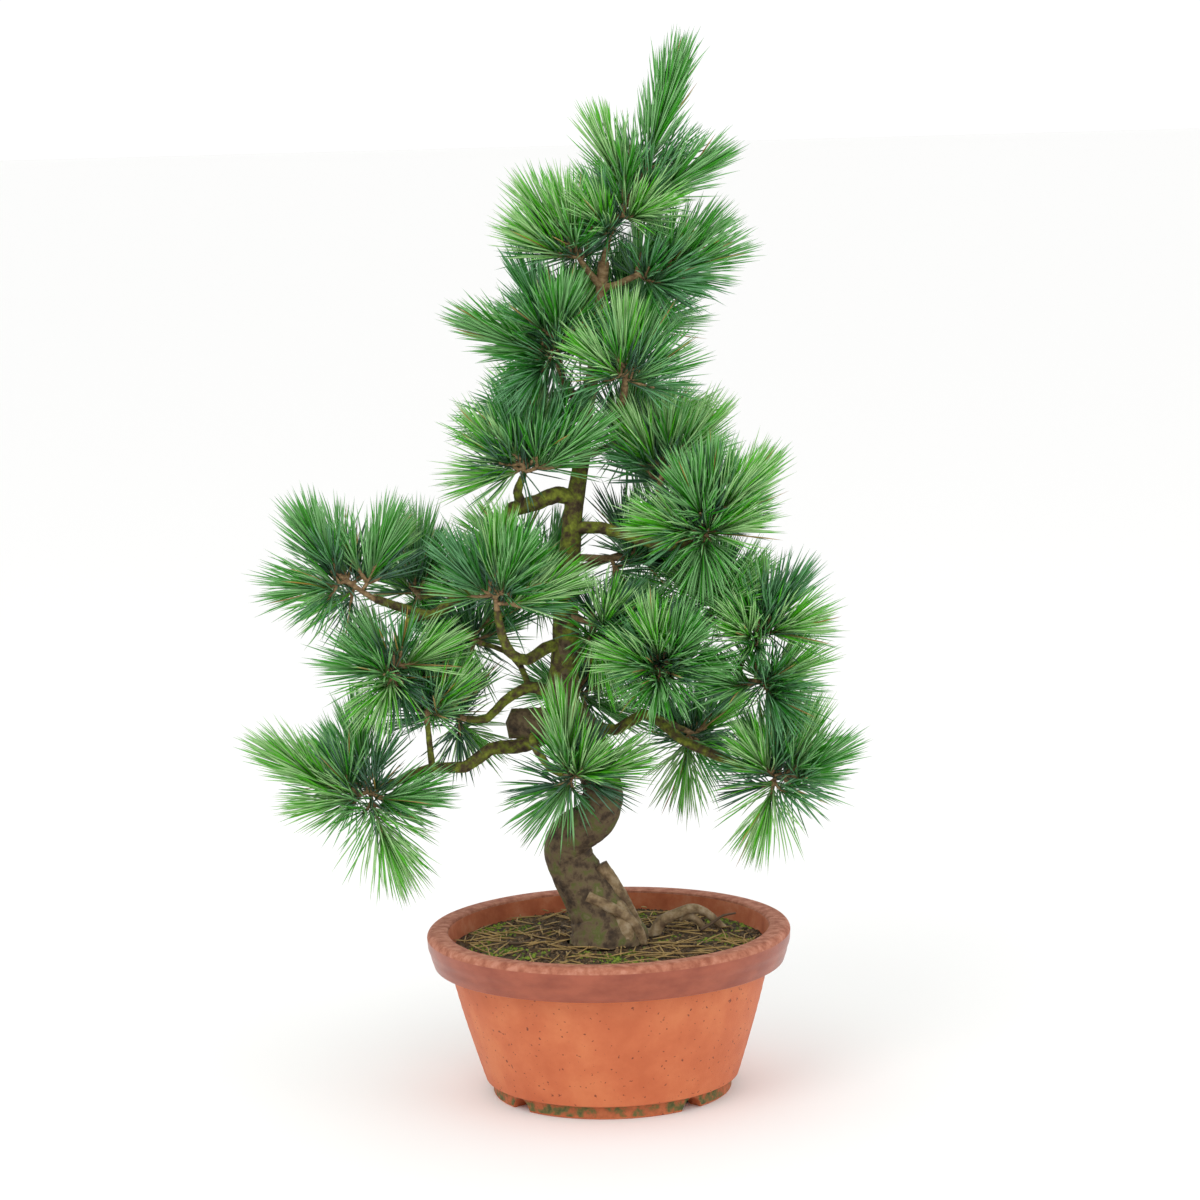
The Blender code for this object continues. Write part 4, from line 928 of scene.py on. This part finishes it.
def pot_profile():
    """Rounded lip, band, wall, foot ring, underside, drain and inside, as (radius, height, face) rows."""
    rows = []
    for a in np.linspace(90.0, 0.0, 9):
        across = LIP_ROUND * math.cos(math.radians(a))
        up = LIP_ROUND * math.sin(math.radians(a))
        rows.append((RIM_RADIUS - LIP_ROUND + across, POT_HEIGHT - LIP_ROUND + up, LIP))
    top = POT_HEIGHT - LIP_BAND
    for share in np.linspace(0.0, 1.0, 12)[1:]:
        radius = RIM_RADIUS + (BAND_FOOT_RADIUS - RIM_RADIUS) * share
        rows.append((radius, top + (BAND_FOOT + 1.5 - top) * share, BAND_FACE))
    rows.append((BAND_FOOT_RADIUS - 0.5, BAND_FOOT + 0.5, BAND_FACE))
    rows.append((BAND_FOOT_RADIUS - 1.6, BAND_FOOT, BAND_FACE))
    rows.append((BODY_TOP_RADIUS + 2.6, BAND_FOOT - 0.2, BAND_FACE))
    rows.append((BODY_TOP_RADIUS + 1.0, BAND_FOOT - 0.9, WALL_FACE))
    for height in (*np.linspace(90.0, FOOT_RING_HEIGHT + 3.0, 22), FOOT_RING_HEIGHT + 1.6):
        rows.append((body_radius(height), height, WALL_FACE))
    rows.append((BODY_FOOT_RADIUS - 1.6, FOOT_RING_HEIGHT + 0.5, WALL_FACE))
    rows.append((FOOT_RING_RADIUS + 1.6, FOOT_RING_HEIGHT, FOOT_FACE))
    for height in np.linspace(FOOT_RING_HEIGHT - 0.8, 1.4, 10):
        rows.append((FOOT_RING_RADIUS, height, FOOT_FACE))
    rows.extend(((FOOT_RING_RADIUS - 0.4, 0.5, WALL_FACE), (FOOT_RING_RADIUS - 1.2, 0.0, WALL_FACE)))
    for radius in np.linspace(FOOT_RING_RADIUS - 3.0, FOOT_RING_INNER, 6):
        rows.append((radius, 0.0, WALL_FACE))
    under = FOOT_RING_HEIGHT - RECESS
    rows.extend((FOOT_RING_INNER - 1.5 * k / 5, under * k / 5, WALL_FACE) for k in range(1, 6))
    rows.extend((radius, under, WALL_FACE) for radius in np.linspace(FOOT_RING_INNER - 4.0, DRAIN_RADIUS, 6))
    rows.extend(((DRAIN_RADIUS, FLOOR_TOP - 4.0, INSIDE), (DRAIN_RADIUS, FLOOR_TOP, INSIDE)))
    rows.append((body_radius(FLOOR_TOP) - WALL - 5.0, FLOOR_TOP, INSIDE))
    rows.extend((body_radius(height) - WALL, height, INSIDE) for height in (FLOOR_TOP + 6.0, 45.0, 80.0))
    for share in np.linspace(0.0, 1.0, 8):
        radius = LIP_INNER_RADIUS - 1.6 + 1.6 * share
        rows.append((radius, SOIL_EDGE + (POT_HEIGHT - 2.2 - SOIL_EDGE) * share, INSIDE))
    rows.append((LIP_INNER_RADIUS + 0.8, POT_HEIGHT - 0.9, LIP))
    rows.append((LIP_INNER_RADIUS + 2.4, POT_HEIGHT - 0.2, LIP))
    rows.append((LIP_INNER_RADIUS + 6.0, POT_HEIGHT, LIP))
    return np.array(rows)


def make_pot(materials):
    """The profile turned round the axis, with a thrower's slight waver, and the foot lifted at four arches.

    At an arch the height is at least the root of the arch radius squared less the side distance squared.
    """
    rows = pot_profile()
    angle = 2 * math.pi * np.arange(POT_AROUND) / POT_AROUND
    radius = rows[:, 0][:, None] + 0.0 * angle[None, :]
    height = rows[:, 1][:, None] + 0.0 * angle[None, :]
    outer = (rows[:, 2] < FOOT_FACE)[:, None] & (height > FOOT_RING_HEIGHT)
    waver = 0.25 * np.sin(3 * angle + 0.4) + 0.12 * np.sin(7 * angle) + 0.1 * np.sin(height * 0.9)
    radius = radius + np.where(outer, waver - 0.3, 0.0)
    foot = (height < FOOT_RING_HEIGHT) & (radius > FOOT_RING_INNER - 5.0)
    for k in range(NOTCH_COUNT):
        centre = math.radians(NOTCH_TURN + 360.0 * k / NOTCH_COUNT)
        aside = radius * np.sin(angle - centre)
        near = np.cos(angle - centre) > 0.5
        arch = np.sqrt(np.maximum(NOTCH_RADIUS**2 - aside**2, 0.0))
        height = np.where(foot & near, np.maximum(height, arch), height)
    points = np.stack([radius * np.cos(angle), radius * np.sin(angle), height], axis=-1)
    count = len(rows)
    triangles = grid_triangles(count, POT_AROUND)
    closing = grid_triangles(2, POT_AROUND)
    last = (count - 1) * POT_AROUND
    closing = np.where(closing >= POT_AROUND, closing - POT_AROUND, closing + last)
    triangles = np.vstack([triangles, closing])[:, ::-1]
    finish = np.append(rows[1:, 2], rows[0, 2]).astype(int)
    kinds = np.repeat(finish, 2 * POT_AROUND)
    pot = make_piece("pot_clay", points.reshape(-1, 3), triangles, materials, kinds, ("pot",))
    pot.data.set_sharp_from_angle(angle=math.radians(42.0))


def soil_height(x, y):
    """Level soil with low waves, falling to the wall past the flat part."""
    radius = np.hypot(x, y)
    waves = sum(a * np.sin(p * x + q * y + s) for a, p, q, s in SOIL_WAVES)
    fall = np.clip((radius - SOIL_FLAT_RADIUS) / (SOIL_EDGE_RADIUS - SOIL_FLAT_RADIUS), 0.0, 1.0)
    return GROUND - 0.5 + waves * (1.0 - fall) - (GROUND - SOIL_EDGE) * fall


def blobs(places, sizes, rng):
    """Lumps with eight faces: two points on the axis and four on the belt, each pulled about at random."""
    count = len(places)
    base = np.array(((1, 0, 0), (0, 1, 0), (-1, 0, 0), (0, -1, 0), (0, 0, 1), (0, 0, -1)), float)
    points = base[None, :, :] * rng.uniform(0.65, 1.2, (count, 6, 1)) + rng.normal(0.0, 0.12, (count, 6, 3))
    turn = rng.uniform(0.0, 2 * math.pi, count)
    c, s = np.cos(turn)[:, None], np.sin(turn)[:, None]
    x, y = points[:, :, 0] * c - points[:, :, 1] * s, points[:, :, 0] * s + points[:, :, 1] * c
    points = np.stack([x, y, points[:, :, 2] * 0.75], axis=-1) * sizes[:, None, None] + places[:, None, :]
    belt = ((0, 1), (1, 2), (2, 3), (3, 0))
    shape = np.array([(a, b, 4) for a, b in belt] + [(b, a, 5) for a, b in belt])
    triangles = (shape[None] + 6 * np.arange(count)[:, None, None]).reshape(-1, 3)
    return points.reshape(-1, 3), triangles


def scattered(rng, count, reach):
    """Points spread evenly over a disc, as x and y."""
    radius = reach * np.sqrt(rng.random(count))
    turn = rng.uniform(0.0, 2 * math.pi, count)
    return radius * np.cos(turn), radius * np.sin(turn)


def make_soil_bed(rng):
    """The earth as rings from the middle to the wall, carried down inside the pot to its floor."""
    earth, _, _ = textured("earth_damp", "43331F", 0.95, ("2B2013", "46351F", "5E4A2E"), 6.0, 1.5, 0.6)
    angle = 2 * math.pi * np.arange(SOIL_AROUND)[None, :] / SOIL_AROUND
    radius = np.linspace(0.0, SOIL_EDGE_RADIUS - 0.6, SOIL_RINGS)[1:][:, None]
    x, y = radius * np.cos(angle), radius * np.sin(angle)
    crumbs = value_noise(rng, angle / (2 * math.pi) + 0.0 * x, radius + 0.0 * x, 120, 3.0) - 0.5
    z = soil_height(x, y) + 0.4 * crumbs
    top = np.stack([x, y, z], axis=-1).reshape(-1, 3)
    low = [(SOIL_EDGE_RADIUS - 0.8, SOIL_EDGE - 1.5)]
    for height, clear in ((80.0, 1.0), (45.0, 1.0), (24.0, 1.5)):
        low.append((body_radius(height) - WALL - clear, height))
    low.append((70.0, FLOOR_TOP + 1.0))
    under = [np.stack([r * np.cos(angle[0]), r * np.sin(angle[0]), np.full(SOIL_AROUND, h)], axis=1)
             for r, h in low]
    ends = np.array(((0.0, 0.0, float(z[0].mean())), (0.0, 0.0, FLOOR_TOP + 1.0)))
    count = SOIL_RINGS - 1 + len(low)
    first = np.arange(SOIL_AROUND)
    triangles = [grid_triangles(count, SOIL_AROUND), fan(count * SOIL_AROUND, first, False),
                 fan(count * SOIL_AROUND + 1, first + (count - 1) * SOIL_AROUND, True)]
    points = np.vstack([top, *under, ends])
    make_piece("soil_bed", points, np.vstack(triangles), [earth], 0, ("soil",))


def make_granules(grains, rng):
    """Baked-clay granules, green where moss grows over them in patches."""
    x, y = scattered(rng, GRANULES, GRANULE_FIELD)
    size = rng.uniform(*GRANULE_SIZE, GRANULES)
    keep = np.hypot(x - TRUNK_FOOT[0], y) >= TRUNK_CLEARING
    x, y, size = x[keep], y[keep], size[keep]
    places = np.stack([x, y, soil_height(x, y) + size * 0.1], axis=1)
    patch = np.sin(x * 0.075 + 1.0) + np.sin(y * 0.09 + x * 0.03) + 0.8 * np.sin(x * 0.19 - y * 0.13)
    mossy = patch + rng.normal(0.0, 0.45, len(x)) > 0.95
    kind = np.where(mossy, rng.choice((3, 4), len(x)), rng.choice((0, 1, 1, 2), len(x)))
    heap = Heap()
    points, triangles = blobs(places, size, rng)
    heap.put(points, triangles, np.repeat(kind, 8))
    heap.piece("soil_granules", grains, "soil", flat=True)


def make_litter(grains, rng):
    """Fallen needles and two dead twigs on the soil."""
    straw, dead = 5, 6
    heap = Heap()
    x, y = scattered(rng, FALLEN_NEEDLES, 104.0)
    feet = np.stack([x, y, np.full(FALLEN_NEEDLES, GROUND + 1.2)], axis=1)
    feet = feet[np.hypot(x - TRUNK_FOOT[0], y) > TRUNK_CLEARING + 3.0]
    count = len(feet)
    heading = rng.uniform(0.0, 2 * math.pi, count)
    direction = np.stack([np.cos(heading), np.sin(heading), rng.uniform(0.0, 0.06, count)], axis=1)
    length = rng.uniform(*FALLEN_LENGTH, count)
    tip = feet + direction * length[:, None]
    length = np.where(np.hypot(tip[:, 0], tip[:, 1]) > 108.0, length * 0.25, length)
    bend = rng.normal(0.0, 0.08, (count, 3)) * (1.0, 1.0, 0.15)
    points, triangles, _, _ = needle_shapes(feet, direction, length, bend, rng)
    heap.put(points, triangles, straw)
    for start, legs in DEAD_TWIGS:
        course = smooth(walk(start, legs), 3)
        heap.put(*barked_tube(course, np.linspace(1.3, 0.7, len(course)), DEAD_TWIG_BARK, rng), dead)
    heap.piece("soil_litter", grains, "soil")


def make_stage():
    """A plain pale floor and a seamless pale surround, lit softly from above and in front."""
    floor = bpy.data.meshes.new("floor")
    corners = [(x * FLOOR_REACH, y * FLOOR_REACH, 0) for x, y in ((-1, -1), (1, -1), (1, 1), (-1, 1))]
    floor.from_pydata(corners, [], [(0, 1, 2, 3)])
    plane = bpy.data.objects.new("floor", floor)
    floor.materials.append(new_material("studio_floor", "F7F7F6", 0.9))
    bpy.context.scene.collection.objects.link(plane)
    bpy.context.scene.view_settings.view_transform = "Standard"
    world = bpy.data.worlds.new("studio")
    bpy.context.scene.world = world
    world.use_nodes = True
    background = world.node_tree.nodes["Background"]
    background.inputs["Color"].default_value = (1.0, 1.0, 1.0, 1.0)
    background.inputs["Strength"].default_value = SURROUND
    for name, place, size, power in LAMPS:
        data = bpy.data.lights.new(name, "AREA")
        data.shape = "SQUARE"
        data.size = size
        data.energy = power
        lamp = bpy.data.objects.new(name, data)
        lamp.location = place
        lamp.rotation_euler = (Vector(LAMP_AIM) - Vector(place)).to_track_quat("-Z", "Y").to_euler()
        bpy.context.scene.collection.objects.link(lamp)


def make_camera():
    """The photograph's viewpoint, with its slight roll."""
    data = bpy.data.cameras.new("camera")
    data.lens = CAMERA_LENS
    data.sensor_width = CAMERA_SENSOR
    data.clip_end = 200.0
    camera = bpy.data.objects.new("camera", data)
    place = Matrix.Translation(Vector((np.array(CAMERA_PLACE) + AXIS) * MM))
    pitch = Matrix.Rotation(math.radians(90.0 - CAMERA_PITCH), 4, "X")
    roll = Matrix.Rotation(math.radians(-CAMERA_ROLL), 4, "Z")
    camera.matrix_world = place @ pitch @ roll
    bpy.context.scene.collection.objects.link(camera)
    bpy.context.scene.camera = camera


WOODS = grow_wood()
PLANS = {key: grow_mass(WOODS, *row, MASS_SEED + order) for order, (key, row) in enumerate(MASSES.items())}
spread(PLANS, WOODS)
BARKS = bark_materials()
make_trunk(WOODS, BARKS, np.random.default_rng(3))
make_limbs(WOODS, BARKS, np.random.default_rng(4))
make_foliage(PLANS, needle_materials(), BARKS, np.random.default_rng(NEEDLE_SEED))
make_pot(pot_materials())
SOIL_RNG = np.random.default_rng(6)
GRAINS = soil_materials()
make_soil_bed(SOIL_RNG)
make_granules(GRAINS, SOIL_RNG)
make_litter(GRAINS, SOIL_RNG)
make_stage()
make_camera()
